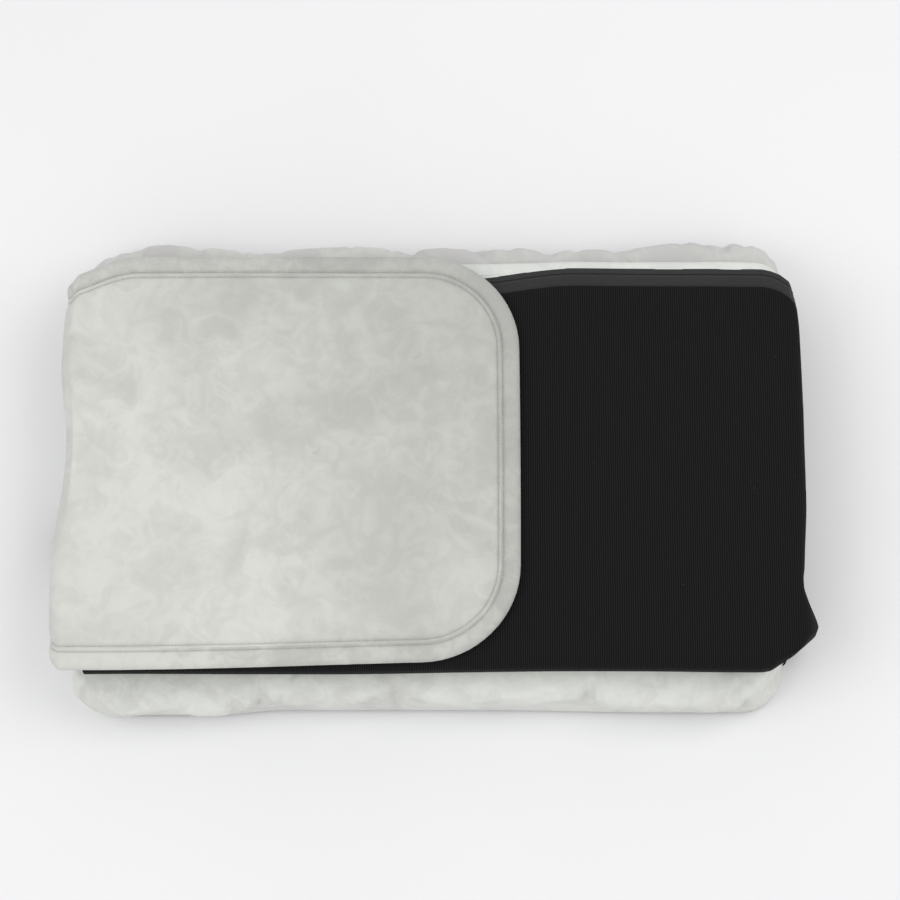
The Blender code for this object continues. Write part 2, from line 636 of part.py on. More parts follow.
def make_left_fold(body):
    """Velour skin and wadding of the fold on the left."""
    bottom = LEFT_FOLD_BOTTOM + CLEARANCE
    top = LEFT_FOLD_TOP - CLEARANCE
    inner = LEFT + FOLD_DEPTH
    skin = LEFT + (FOLD_DEPTH - SHOULDER_DROP) * 0.85
    front, back = UPPER_FRONT, UPPER_BACK
    round_end = FOLD_END_RADIUS * 0.5
    outline = rounded_outline((LEFT, skin, front, back), (round_end, 0, 0, round_end), 0.0, 4)
    prism("left_fold_velour", outline, "z", bottom, top, VELOUR, body)
    block("left_fold_wadding", (skin + CLEARANCE, front + 0.004, bottom), (inner, back - 0.004, top),
          WADDING, body)


def flap_outline(inset, left):
    """Three-sided outline of the flap, with round corners on its free end."""
    box = (left, FLAP_RIGHT - inset, UPPER_FRONT - 0.001 + inset, UPPER_BACK + 0.001 - inset)
    radius = FLAP_CORNER_RADIUS - inset
    return rounded_outline(box, (0, radius, radius, 0), 0.0, 8)


def make_flap(body):
    inside = BINDING_WIDTH + CLEARANCE
    inner = flap_outline(inside, PANEL_LEFT)
    levels = []
    lining_top = FLAP_BOTTOM + LINING_THICKNESS
    wadding_top = FLAP_TOP - FLAP_COVER_THICKNESS - CLEARANCE
    levels.append(("flap_knit_lining", FLAP_BOTTOM, lining_top, KNIT))
    levels.append(("flap_wadding", lining_top + CLEARANCE, wadding_top, WADDING))
    levels.append(("flap_velour_cover", wadding_top + CLEARANCE, FLAP_TOP, VELOUR))
    for name, bottom, top, finish in levels:
        prism(name, inner, "z", bottom, top, finish, body)

    outer = flap_outline(0.0, PANEL_LEFT)
    edge = flap_outline(BINDING_WIDTH, PANEL_LEFT)
    bm = bmesh.new()
    soft = 0.003
    low = [bm.verts.new((x, y, FLAP_BOTTOM)) for x, y in outer]
    high = [bm.verts.new((x, y, FLAP_TOP - soft)) for x, y in outer]
    low_in = [bm.verts.new((x, y, FLAP_BOTTOM)) for x, y in edge]
    high_in = [bm.verts.new((x, y, FLAP_TOP - 0.001)) for x, y in edge]
    last = len(outer) - 1
    for first, second in ((low, high), (high, high_in), (high_in, low_in), (low_in, low)):
        for i in range(last):
            bm.faces.new((first[i], first[i + 1], second[i + 1], second[i]))
    for i in (0, last):
        bm.faces.new((low[i], high[i], high_in[i], low_in[i]))
    add_object("flap_binding", bm, BINDING, body)

    profile = quarter_round((PANEL_LEFT - CLEARANCE, LEFT_FOLD_TOP + CLEARANCE), LEFT, FLAP_TOP,
                            (FLAP_TOP - LEFT_FOLD_TOP) * 0.8)
    prism("flap_fold_edge", profile, "y", UPPER_FRONT, UPPER_BACK, VELOUR, body)


def main():
    clear_scene()
    lower = make_empty("lower_panel", (0, 0, 0))
    right = make_empty("right_fold", (RIGHT, 0, RIGHT_FOLD_BOTTOM), lower)
    upper = make_empty("upper_panel", (RIGHT, 0, RIGHT_FOLD_TOP), right)
    left = make_empty("left_fold", (LEFT, 0, LEFT_FOLD_BOTTOM), upper)
    flap = make_empty("head_flap", (LEFT, 0, LEFT_FOLD_TOP), left)
    zip_height = LOWER_ZIP_TOP - ZIP_BAND / 2
    slide = make_empty("zip_slider", (SLIDER_START, BACK - SIDE_BULGE, zip_height), lower)
    pull = make_empty("zip_pull", (SLIDER_START, slider_bar_y(), zip_height), slide)

    shell = make_lower_covers(lower)
    bars = make_lower_filling(lower)
    make_inlet(lower, shell, bars)
    make_lower_zip(lower)
    make_slider(slide, pull)
    make_right_fold(right)
    make_upper_covers(upper)
    make_upper_filling(upper)
    make_upper_zip(upper)
    make_left_fold(left)
    make_flap(flap)


main()
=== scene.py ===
# Infrared sauna blanket, folded in three: fabric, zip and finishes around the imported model.
import json
import math
import bmesh
import bpy
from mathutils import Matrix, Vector, noise


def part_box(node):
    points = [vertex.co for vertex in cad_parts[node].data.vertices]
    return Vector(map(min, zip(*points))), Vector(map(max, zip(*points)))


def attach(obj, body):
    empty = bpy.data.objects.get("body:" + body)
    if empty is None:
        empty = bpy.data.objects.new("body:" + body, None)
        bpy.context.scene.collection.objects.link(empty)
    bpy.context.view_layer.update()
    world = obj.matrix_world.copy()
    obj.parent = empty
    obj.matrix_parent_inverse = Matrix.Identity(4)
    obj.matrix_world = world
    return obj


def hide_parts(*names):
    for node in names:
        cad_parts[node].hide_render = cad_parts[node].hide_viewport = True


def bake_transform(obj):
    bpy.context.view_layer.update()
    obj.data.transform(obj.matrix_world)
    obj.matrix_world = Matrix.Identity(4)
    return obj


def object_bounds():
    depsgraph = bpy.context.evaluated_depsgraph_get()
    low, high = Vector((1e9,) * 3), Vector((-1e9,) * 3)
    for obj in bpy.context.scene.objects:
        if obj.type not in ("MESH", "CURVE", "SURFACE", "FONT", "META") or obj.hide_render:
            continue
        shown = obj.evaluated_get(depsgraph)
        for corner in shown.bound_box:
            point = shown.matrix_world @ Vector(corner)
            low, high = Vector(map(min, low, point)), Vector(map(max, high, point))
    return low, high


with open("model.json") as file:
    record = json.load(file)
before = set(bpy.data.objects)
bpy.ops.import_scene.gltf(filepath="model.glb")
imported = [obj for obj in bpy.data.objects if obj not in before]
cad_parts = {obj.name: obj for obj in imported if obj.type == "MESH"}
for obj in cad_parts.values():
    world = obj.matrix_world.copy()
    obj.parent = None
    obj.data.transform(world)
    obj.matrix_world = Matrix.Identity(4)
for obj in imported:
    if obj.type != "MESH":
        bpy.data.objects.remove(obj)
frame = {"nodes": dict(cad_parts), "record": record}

cadBox = [list(corner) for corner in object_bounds()]
scene = bpy.context.scene


# small helpers
def clamp(value, low=0.0, high=1.0):
    return max(low, min(high, value))


def smooth(low, high, value):
    t = clamp((value - low) / (high - low))
    return t * t * (3 - 2 * t)


def bump(value, centre, width):
    return math.exp(-((value - centre) / width) ** 2)


def wave(x, y, z, size, seed=0.0):
    return noise.noise(Vector((x / size + seed, y / size - seed * 0.7, z / size + seed * 1.3)))


def newObject(name, mesh):
    piece = bpy.data.objects.new(name, mesh)
    scene.collection.objects.link(piece)
    return piece


def meshPiece(name, points, faces, material, cloth=None, fixNormals=True, merge=0.0):
    # cloth holds one pair for each point: metres along and across the fabric
    bm = bmesh.new()
    verts = [bm.verts.new(p) for p in points]
    uv = bm.loops.layers.uv.new("cloth") if cloth else None
    for face in faces:
        face = list(dict.fromkeys(face))
        if len(face) < 3:
            continue
        made = bm.faces.new([verts[i] for i in face])
        if uv:
            for loop, i in zip(made.loops, face):
                loop[uv].uv = cloth[i]
    loose = [v for v in bm.verts if not v.link_faces]
    bmesh.ops.delete(bm, geom=loose, context="VERTS")
    if merge:
        bmesh.ops.remove_doubles(bm, verts=bm.verts, dist=merge)
    if fixNormals:
        bmesh.ops.recalc_face_normals(bm, faces=bm.faces)
    mesh = bpy.data.meshes.new(name)
    bm.to_mesh(mesh)
    bm.free()
    mesh.shade_smooth()
    mesh.materials.append(material)
    return newObject(name, mesh)


def applyModifiers(piece):
    view = bpy.context.evaluated_depsgraph_get()
    mesh = bpy.data.meshes.new_from_object(piece.evaluated_get(view))
    mesh.name = piece.name
    piece.modifiers.clear()
    piece.data = mesh
    return piece


# shader node groups
def newGroup(name, inputs, outputs):
    group = bpy.data.node_groups.new(name, "ShaderNodeTree")
    for label, kind, value in inputs:
        socket = group.interface.new_socket(label, in_out="INPUT", socket_type=kind)
        if value is not None:
            socket.default_value = value
    for label, kind in outputs:
        group.interface.new_socket(label, in_out="OUTPUT", socket_type=kind)
    return group, group.nodes.new("NodeGroupInput"), group.nodes.new("NodeGroupOutput")


def addNode(tree, kind, **settings):
    node = tree.nodes.new(kind)
    for key, value in settings.items():
        setattr(node, key, value)
    return node


def mathNode(tree, operation, first, second=None, third=None):
    node = addNode(tree, "ShaderNodeMath", operation=operation)
    for socket, value in zip(node.inputs, (first, second, third)):
        if value is None:
            continue
        if isinstance(value, (int, float)):
            socket.default_value = value
        else:
            tree.links.new(value, socket)
    return node.outputs[0]


def noiseNode(tree, vector, scale, detail=3.0, rough=0.55):
    node = addNode(tree, "ShaderNodeTexNoise")
    node.inputs["Scale"].default_value = scale
    node.inputs["Detail"].default_value = detail
    node.inputs["Roughness"].default_value = rough
    tree.links.new(vector, node.inputs["Vector"])
    return node.outputs["Fac"]


def remap(tree, value, fromLow, fromHigh, toLow, toHigh):
    node = addNode(tree, "ShaderNodeMapRange", interpolation_type="SMOOTHSTEP")
    for label, number in (("From Min", fromLow), ("From Max", fromHigh), ("To Min", toLow), ("To Max", toHigh)):
        node.inputs[label].default_value = number
    tree.links.new(value, node.inputs["Value"])
    return node.outputs["Result"]


def makeNapGroup():
    # brushed patches of pile: broad marks, finger marks and a fine fleck
    group, given, out = newGroup(
        "napMarks",
        (("Vector", "NodeSocketVector", None), ("Broad", "NodeSocketFloat", 9.0), ("Marks", "NodeSocketFloat", 38.0)),
        (("Tone", "NodeSocketFloat"), ("Height", "NodeSocketFloat")),
    )
    vector = given.outputs["Vector"]
    broad = addNode(group, "ShaderNodeTexNoise")
    broad.inputs["Detail"].default_value = 4.0
    broad.inputs["Roughness"].default_value = 0.6
    broad.inputs["Distortion"].default_value = 0.6
    group.links.new(vector, broad.inputs["Vector"])
    group.links.new(given.outputs["Broad"], broad.inputs["Scale"])
    marks = addNode(group, "ShaderNodeTexNoise")
    marks.inputs["Detail"].default_value = 5.0
    marks.inputs["Roughness"].default_value = 0.62
    marks.inputs["Distortion"].default_value = 1.4
    group.links.new(vector, marks.inputs["Vector"])
    group.links.new(given.outputs["Marks"], marks.inputs["Scale"])
    pile = noiseNode(group, vector, 1400.0, 2.0, 0.6)
    broadTone = remap(group, broad.outputs["Fac"], 0.32, 0.68, -0.5, 0.5)
    markTone = remap(group, marks.outputs["Fac"], 0.35, 0.65, -0.5, 0.5)
    tone = mathNode(group, "MULTIPLY_ADD", markTone, 0.55, broadTone)
    fleck = mathNode(group, "SUBTRACT", pile, 0.5)
    tone = mathNode(group, "MULTIPLY_ADD", fleck, 0.8, tone)
    group.links.new(tone, out.inputs["Tone"])
    height = mathNode(group, "MULTIPLY_ADD", markTone, 0.25, pile)
    group.links.new(height, out.inputs["Height"])
    return group


def makeRibGroup():
    # fine knitted ribs across the first coordinate, with loops along each rib
    group, given, out = newGroup(
        "ribKnit",
        (("Vector", "NodeSocketVector", None), ("Pitch", "NodeSocketFloat", 0.0022),
         ("Loop", "NodeSocketFloat", 0.0012)),
        (("Rib", "NodeSocketFloat"), ("Height", "NodeSocketFloat")),
    )
    split = addNode(group, "ShaderNodeSeparateXYZ")
    group.links.new(given.outputs["Vector"], split.inputs[0])
    wobble = noiseNode(group, given.outputs["Vector"], 60.0, 2.0)
    wobble = mathNode(group, "MULTIPLY_ADD", wobble, 0.0008, split.outputs["X"])
    across = mathNode(group, "DIVIDE", wobble, given.outputs["Pitch"])
    rib = mathNode(group, "SINE", mathNode(group, "MULTIPLY", across, 2 * math.pi))
    rib = mathNode(group, "MULTIPLY_ADD", rib, 0.5, 0.5)
    along = mathNode(group, "DIVIDE", split.outputs["Y"], given.outputs["Loop"])
    side = mathNode(group, "PINGPONG", across, 0.5)
    turns = mathNode(group, "MULTIPLY_ADD", mathNode(group, "ADD", along, side), 2 * math.pi, 0.0)
    loop = mathNode(group, "SINE", turns)
    loop = mathNode(group, "MULTIPLY_ADD", loop, 0.5, 0.5)
    group.links.new(rib, out.inputs["Rib"])
    fibre = noiseNode(group, given.outputs["Vector"], 2600.0, 2.0, 0.7)
    height = mathNode(group, "MULTIPLY_ADD", mathNode(group, "MULTIPLY", loop, rib), 0.35, rib)
    height = mathNode(group, "MULTIPLY_ADD", fibre, 0.4, height)
    group.links.new(height, out.inputs["Height"])
    return group


def makeWearGroup():
    # handling marks for moulded and metal parts
    group, given, out = newGroup(
        "handling",
        (("Vector", "NodeSocketVector", None), ("Scale", "NodeSocketFloat", 400.0)),
        (("Marks", "NodeSocketFloat"), ("Grain", "NodeSocketFloat")),
    )
    marks = addNode(group, "ShaderNodeTexNoise")
    marks.inputs["Detail"].default_value = 5.0
    group.links.new(given.outputs["Vector"], marks.inputs["Vector"])
    group.links.new(given.outputs["Scale"], marks.inputs["Scale"])
    grain = noiseNode(group, given.outputs["Vector"], 3200.0, 2.0)
    group.links.new(remap(group, marks.outputs["Fac"], 0.4, 0.7, 0.0, 1.0), out.inputs["Marks"])
    group.links.new(grain, out.inputs["Grain"])
    return group


napGroup = makeNapGroup()
ribGroup = makeRibGroup()
wearGroup = makeWearGroup()


# materials
def startMaterial(name, colour, roughness, metallic=0.0):
    material = bpy.data.materials.new(name)
    material.use_nodes = True
    material.diffuse_color = (*colour, 1.0)
    tree = material.node_tree
    shader = tree.nodes["Principled BSDF"]
    shader.inputs["Base Color"].default_value = (*colour, 1.0)
    shader.inputs["Roughness"].default_value = roughness
    shader.inputs["Metallic"].default_value = metallic
    return material, tree, shader


def placeGroup(tree, group, vector, **values):
    node = addNode(tree, "ShaderNodeGroup", node_tree=group)
    tree.links.new(vector, node.inputs["Vector"])
    for label, value in values.items():
        node.inputs[label.capitalize()].default_value = value
    return node


def mixColours(tree, factor, first, second):
    node = addNode(tree, "ShaderNodeMix", data_type="RGBA")
    for index, colour in ((6, first), (7, second)):
        if isinstance(colour, tuple):
            node.inputs[index].default_value = (*colour, 1.0)
        else:
            tree.links.new(colour, node.inputs[index])
    tree.links.new(factor, node.inputs[0])
    return node.outputs[2]


def addBump(tree, shader, height, distance, strength=1.0, under=None):
    node = addNode(tree, "ShaderNodeBump")
    node.inputs["Distance"].default_value = distance
    node.inputs["Strength"].default_value = strength
    tree.links.new(height, node.inputs["Height"])
    if under:
        tree.links.new(under, node.inputs["Normal"])
    if shader:
        tree.links.new(node.outputs["Normal"], shader.inputs["Normal"])
    return node.outputs["Normal"]


def velourMaterial(name, dark, light, sheen, broad=9.0, marks=38.0, paintedShadeColour=None, paintedShadeReach=(0.65, 0.40)):
    material, tree, shader = startMaterial(name, light, 0.92)
    shader.inputs["Sheen Weight"].default_value = sheen
    shader.inputs["Sheen Roughness"].default_value = 0.42
    shader.inputs["Specular IOR Level"].default_value = 0.12
    coords = addNode(tree, "ShaderNodeTexCoord")
    nap = placeGroup(tree, napGroup, coords.outputs["Object"], broad=broad, marks=marks)
    tone = remap(tree, nap.outputs["Tone"], -0.75, 0.75, 0.0, 1.0)
    colour = mixColours(tree, tone, dark, light)
    if paintedShadeColour:
        # painted shade: towards the right and the back the colour is mixed with a darker tone, where less light
        # falls; the nap tone breaks it up a little
        axes = addNode(tree, "ShaderNodeSeparateXYZ")
        tree.links.new(coords.outputs["Object"], axes.inputs[0])
        across = remap(tree, axes.outputs["X"], -0.36, 0.10, 0.0, paintedShadeReach[0])
        deep = remap(tree, axes.outputs["Y"], -0.10, 0.22, 0.0, paintedShadeReach[1])
        paintedShadeShare = mathNode(tree, "ADD", mathNode(tree, "ADD", across, deep),
                          mathNode(tree, "MULTIPLY", nap.outputs["Tone"], -0.35))
        colour = mixColours(tree, paintedShadeShare, colour, paintedShadeColour)
    tree.links.new(colour, shader.inputs["Base Color"])
    tree.links.new(remap(tree, nap.outputs["Tone"], -0.7, 0.7, 0.98, 0.84), shader.inputs["Roughness"])
    addBump(tree, shader, nap.outputs["Height"], 0.0005, 0.35)
    return material


def knitMaterial():
    material, tree, shader = startMaterial("blackKnit", (0.012, 0.012, 0.013), 0.9)
    shader.inputs["Sheen Weight"].default_value = 0.02
    shader.inputs["Sheen Roughness"].default_value = 0.5
    shader.inputs["Specular IOR Level"].default_value = 0.10
    cloth = addNode(tree, "ShaderNodeUVMap", uv_map="cloth")
    rib = placeGroup(tree, ribGroup, cloth.outputs["UV"], pitch=0.0022, loop=0.0013)
    coords = addNode(tree, "ShaderNodeTexCoord")
    specks = addNode(tree, "ShaderNodeTexVoronoi", feature="F1")
    specks.inputs["Scale"].default_value = 70.0
    tree.links.new(coords.outputs["Object"], specks.inputs["Vector"])
    sparse = remap(tree, noiseNode(tree, coords.outputs["Object"], 31.0, 1.0), 0.52, 0.6, 0.0, 1.0)
    lint = mathNode(tree, "MULTIPLY", remap(tree, specks.outputs["Distance"], 0.028, 0.02, 0.0, 1.0), sparse)
    # painted shade: the colour is darker in the valleys between the ribs than on their tops
    body = mixColours(tree, rib.outputs["Rib"], (0.0045, 0.0045, 0.005), (0.0125, 0.0125, 0.0135))
    tree.links.new(mixColours(tree, lint, body, (0.10, 0.10, 0.10)), shader.inputs["Base Color"])
    tree.links.new(remap(tree, rib.outputs["Rib"], 0.0, 1.0, 0.98, 0.82), shader.inputs["Roughness"])
    addBump(tree, shader, rib.outputs["Height"], 0.0005, 0.8)
    return material


def tapeMaterial():
    material, tree, shader = startMaterial("zipTapeWeave", (0.02, 0.02, 0.022), 0.8)
    shader.inputs["Sheen Weight"].default_value = 0.1
    shader.inputs["Specular IOR Level"].default_value = 0.25
    cloth = addNode(tree, "ShaderNodeUVMap", uv_map="cloth")
    swap = addNode(tree, "ShaderNodeMapping")
    swap.inputs["Rotation"].default_value = (0, 0, math.pi / 2)
    tree.links.new(cloth.outputs["UV"], swap.inputs["Vector"])
    rib = placeGroup(tree, ribGroup, swap.outputs["Vector"], pitch=0.0014, loop=0.0009)
    # painted shade: the colour is darker in the valleys between the ribs than on their tops
    tree.links.new(mixColours(tree, rib.outputs["Rib"], (0.006, 0.006, 0.007), (0.017, 0.017, 0.019)),
                   shader.inputs["Base Color"])
    addBump(tree, shader, rib.outputs["Height"], 0.0004, 0.8)
    return material


def hardMaterial(name, dark, light, roughness, metallic, scale=400.0, grain=0.00005):
    material, tree, shader = startMaterial(name, light, roughness, metallic)
    coords = addNode(tree, "ShaderNodeTexCoord")
    wear = placeGroup(tree, wearGroup, coords.outputs["Object"], scale=scale)
    tree.links.new(mixColours(tree, wear.outputs["Marks"], dark, light), shader.inputs["Base Color"])
    tree.links.new(remap(tree, wear.outputs["Marks"], 0.0, 1.0, clamp(roughness - 0.1), clamp(roughness + 0.1)),
                   shader.inputs["Roughness"])
    addBump(tree, shader, wear.outputs["Grain"], grain, 0.6)
    return material


# the last colour given to velour, binding and strip is painted shade, darker towards the right and the back (on the
# strip towards the back only)
velour = velourMaterial("velourPile", (0.562, 0.569, 0.535), (0.602, 0.610, 0.573), 0.2, 9.0, 38.0,
                        (0.415, 0.420, 0.392))
velourBinding = velourMaterial("velourBindingPile", (0.51, 0.515, 0.482), (0.58, 0.585, 0.548), 0.25, 14.0, 60.0,
                               (0.385, 0.39, 0.365))
velourStrip = velourMaterial("velourStripPile", (0.61, 0.62, 0.59), (0.69, 0.70, 0.665), 0.25, 11.0, 46.0,
                             (0.50, 0.495, 0.485), (0.0, 0.9))
velourRim = velourMaterial("velourRimPile", (0.60, 0.618, 0.592), (0.68, 0.694, 0.664), 0.25, 11.0, 46.0)
knit = knitMaterial()
zipTape = tapeMaterial()
zipTeeth = hardMaterial("zipTeethNylon", (0.012, 0.012, 0.013), (0.03, 0.03, 0.032), 0.35, 0.0)
blackNickel = hardMaterial("blackNickel", (0.06, 0.06, 0.065), (0.14, 0.14, 0.15), 0.28, 1.0, 900.0)
blackPlastic = hardMaterial("mouldedPlastic", (0.016, 0.016, 0.017), (0.028, 0.028, 0.03), 0.48, 0.0, 300.0, 0.0001)
copper = hardMaterial("bareCopper", (0.55, 0.28, 0.17), (0.75, 0.45, 0.30), 0.32, 1.0, 700.0)
foil = hardMaterial("crinkledFoil", (0.62, 0.62, 0.64), (0.85, 0.85, 0.87), 0.25, 1.0, 160.0, 0.0006)
carbonFilm = hardMaterial("carbonFilm", (0.02, 0.02, 0.022), (0.045, 0.045, 0.05), 0.5, 0.0)
felt = velourMaterial("needledFelt", (0.70, 0.70, 0.68), (0.86, 0.86, 0.84), 0.3, 30.0, 160.0)
leadCover = hardMaterial("siliconeSleeve", (0.60, 0.60, 0.58), (0.74, 0.74, 0.72), 0.5, 0.0)
stitchThread = hardMaterial("stitchThread", (0.42, 0.425, 0.41), (0.58, 0.585, 0.565), 0.7, 0.0, 900.0)
print("materials made")


# places from the frame
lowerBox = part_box("lower_velour_cover")
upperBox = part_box("upper_velour_cover")
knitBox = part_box("upper_knit_cover")
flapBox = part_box("flap_binding")
rightX = cadBox[1][0]
leftX = cadBox[0][0]
topZ = cadBox[1][2]
panelLeft = upperBox[0].x
panelRight = upperBox[1].x


# fold paths in the XZ plane
def bendPath(x0, z0, x1, z1, reach, steps, power=2.0):
    # half of a rounded loop from (x0, z0) to (x1, z1), bulging by reach in X
    centreZ = (z0 + z1) / 2
    halfZ = (z0 - z1) / 2
    spots = []
    for i in range(steps + 1):
        angle = math.pi / 2 - math.pi * i / steps
        c, s = math.cos(angle), math.sin(angle)
        x = x0 + reach * abs(c) ** (2 / power)
        z = centreZ + halfZ * math.copysign(abs(s) ** (2 / power), s)
        spots.append(Vector((x, 0, z)))
    return spots


def withNormals(spots, outward):
    # each station holds its place, its outward normal and its length along the path
    stations = []
    length = 0.0
    for i, spot in enumerate(spots):
        before = spots[max(i - 1, 0)]
        after = spots[min(i + 1, len(spots) - 1)]
        along = (after - before).normalized()
        normal = Vector((-along.z, 0, along.x)) * outward
        if i:
            length += (spot - spots[i - 1]).length
        stations.append((spot, normal, length))
    return stations


def sweep(stations, section, shift):
    # section is a list of (y, depth below the outer face)
    # shift gives a lift, a new y and a sideways move for a point
    points = []
    cloth = []
    for spot, normal, length in stations:
        for y, depth in section:
            extra, across, sideways = shift(spot, y, length, depth)
            place = spot - normal * (depth - extra)
            points.append((place.x + sideways, across, place.z))
            cloth.append((length, y))
    count = len(section)
    faces = []
    for i in range(len(stations) - 1):
        for k in range(count - 1):
            a = i * count + k
            faces.append((a, a + 1, a + count + 1, a + count))
    return points, faces, cloth


# the head flap and its fold
flapSet = {
    "reach": flapBox[1].x,
    "halfDepth": (flapBox[1].y - flapBox[0].y) / 2 - 0.006,
    "centreY": (flapBox[1].y + flapBox[0].y) / 2 + 0.006,
    "corner": 0.095,
    "thickness": 0.0132,
    "seamInset": 0.0195,
    "seamHalf": 0.0026,
    "backPull": 0.026,
    "frontSpread": 0.009,
    "waist": 0.014,
    "waistY": 0.016,
    "waistHalf": 0.085,
}
stitchSet = {"pitch": 0.0034, "length": 0.0026, "radius": 0.00028, "lift": 0.0003, "depth": 0.0061}


def flapSection():
    # (distance in from the edge, depth below the top), from the middle of the top to the middle of the lining
    seam, half = flapSet["seamInset"], flapSet["seamHalf"]
    thick = flapSet["thickness"]
    rows = []
    inner = flapSet["halfDepth"] - 0.002
    for i in range(14):
        d = inner + (0.060 - inner) * i / 13
        rows.append((d, 0.0012 * (1 - smooth(0.03, 0.15, d))))
    rows += [(0.052, 0.0014), (0.045, 0.0017), (0.039, 0.0020), (0.034, 0.0024), (0.030, 0.0028), (0.027, 0.0033)]
    rows += [(seam + half + 0.0026, 0.0040), (seam + half + 0.0012, 0.0049), (seam + half + 0.0004, 0.0060),
             (seam + half - 0.0004, 0.0061), (seam + half - 0.0013, 0.0047), (seam, 0.0041),
             (seam - half + 0.0013, 0.0047), (seam - half + 0.0004, 0.0061), (seam - half - 0.0004, 0.0060),
             (seam - half - 0.0012, 0.0048), (seam - half - 0.0028, 0.0040)]
    rows += [(0.0115, 0.0034), (0.0085, 0.0032), (0.0060, 0.0034), (0.0040, 0.0040), (0.0024, 0.0049),
             (0.0011, 0.0061), (0.0003, 0.0075), (0.0, 0.0088)]
    rows += [(0.0006, 0.0102), (0.0018, 0.0115), (0.0040, 0.0125), (0.0080, thick - 0.0002), (0.020, thick),
             (0.060, thick)]
    rows += [(0.060 + (inner - 0.060) * i / 4, thick) for i in range(1, 5)]
    return rows


def flapWaves(x, y, inset, depth):
    # soft unevenness of the padding, quiet near the lining
    share = 1 - smooth(0.0065, 0.011, depth)
    lift = 0.0011 * wave(x, y, 0, 0.11, 3.1) + 0.0006 * wave(x, y, 0, 0.045, 7.7)
    lift += 0.0004 * wave(x, y, 0, 0.020, 1.7) * (1 - smooth(0.02, 0.07, inset))
    pucker = bump(x, -0.085, 0.0045) * smooth(-0.150, -0.195, y)
    lift -= 0.0022 * pucker * (0.55 + 0.45 * smooth(0.05, 0.0, inset))
    lift += 0.0010 * bump(x, -0.077, 0.006) * smooth(-0.150, -0.195, y)
    lift -= 0.0007 * bump(x, 0.030, 0.006) * smooth(-0.160, -0.195, y)
    return lift * share - 0.0012 * share


def flapRing(inset):
    # three sides of the flap at one distance in from its edge, ending on the fold line
    half = flapSet["halfDepth"] - inset
    right = flapSet["reach"] - inset
    knee = 0.040
    corner = flapSet["corner"]
    if inset <= knee:
        radius = corner - inset
    else:
        rest = (flapSet["halfDepth"] - knee)
        radius = (corner - knee) * (1 - (inset - knee) / rest) * 0.98 + 0.0008
    sideSteps = 52
    points = []
    for i in range(sideSteps):
        t = i / sideSteps
        points.append((panelLeft + (right - radius - panelLeft) * t, -half))
    for i in range(17):
        angle = -math.pi / 2 + math.pi / 2 * i / 16
        points.append((right - radius + radius * math.cos(angle), -half + radius + radius * math.sin(angle)))
    edge = 2 * (half - radius)
    for i in range(1, 30):
        points.append((right, -half + radius + edge * i / 30))
    mirrored = [(x, -y) for x, y in reversed(points[:sideSteps + 17])]
    points += mirrored
    return [(x, y + flapSet["centreY"]) for x, y in points]


def bowed(x, y):
    # the free end bows out a little
    reach = smooth(panelLeft, flapSet["reach"], x)
    held = smooth(-0.004, 0.020, 0.0) * smooth(0.06, 0.0, x - panelLeft)
    return x + 0.0015 * math.cos(y / flapSet["halfDepth"] * math.pi / 2) * reach + waistIn(y) * held


def waistIn(y):
    # the rolled left end is pulled in at its middle and towards the back
    return flapSet["waist"] * bump(y, flapSet["waistY"], flapSet["waistHalf"]) + 0.006 * smooth(0.05, 0.2, y)


def drawnIn(past, y):
    # how far the back edge comes forward and the front edge spreads, by the distance past the fold line
    front = flapSet["frontSpread"] * smooth(-0.100, -0.195, y) * smooth(-0.45, -0.02, past)
    front -= 0.020 * smooth(-0.120, -0.200, y) * smooth(0.010, 0.050, past)
    back = flapSet["backPull"] * smooth(0.030, 0.190, y) * smooth(-0.060, 0.034, past)
    return y - back - front


def makeFlap():
    section = flapSection()
    rings = [flapRing(d) for d, depth in section]
    count = len(rings[0])
    points, cloth = [], []
    for (d, depth), ring in zip(section, rings):
        for x, y in ring:
            z = topZ - depth + flapWaves(x, y, d, depth)
            points.append((bowed(x, y), drawnIn(panelLeft - x, y), z))
            cloth.append((x, y))
    bandFirst = next(i for i, (d, depth) in enumerate(section) if d <= flapSet["seamInset"])
    topFaces, bandFaces, liningFaces = [], [], []
    liningFirst = next(i for i, (d, depth) in enumerate(section) if depth >= flapSet["thickness"])
    for k in range(len(section) - 1):
        target = topFaces if k < bandFirst else bandFaces if k < liningFirst else liningFaces
        for i in range(count - 1):
            a = k * count + i
            target.append((a, a + 1, a + count + 1, a + count))
    for rowStart, target in ((0, topFaces), ((len(section) - 1) * count, liningFaces)):
        for i in range(count // 2):
            a, b = rowStart + i, rowStart + i + 1
            c, d = rowStart + count - 2 - i, rowStart + count - 1 - i
            if b <= c:
                target.append((a, b, c, d))
    top = meshPiece("flapVelour", points, topFaces, velour, cloth)
    band = meshPiece("flapBindingEdge", points, bandFaces, velourBinding, cloth)
    lining = meshPiece("flapLining", points, liningFaces, knit, cloth)
    return top, band, lining


def sectionAcross(rows, halfDepth, centreY):
    # the same section as (y, depth), from the front lining over the top to the back lining
    top = [(d, depth) for d, depth in rows]
    across = []
    for d, depth in reversed(top):
        across.append((centreY - (halfDepth - d), depth, d))
    for d, depth in top:
        across.append((centreY + (halfDepth - d), depth, d))
    return across


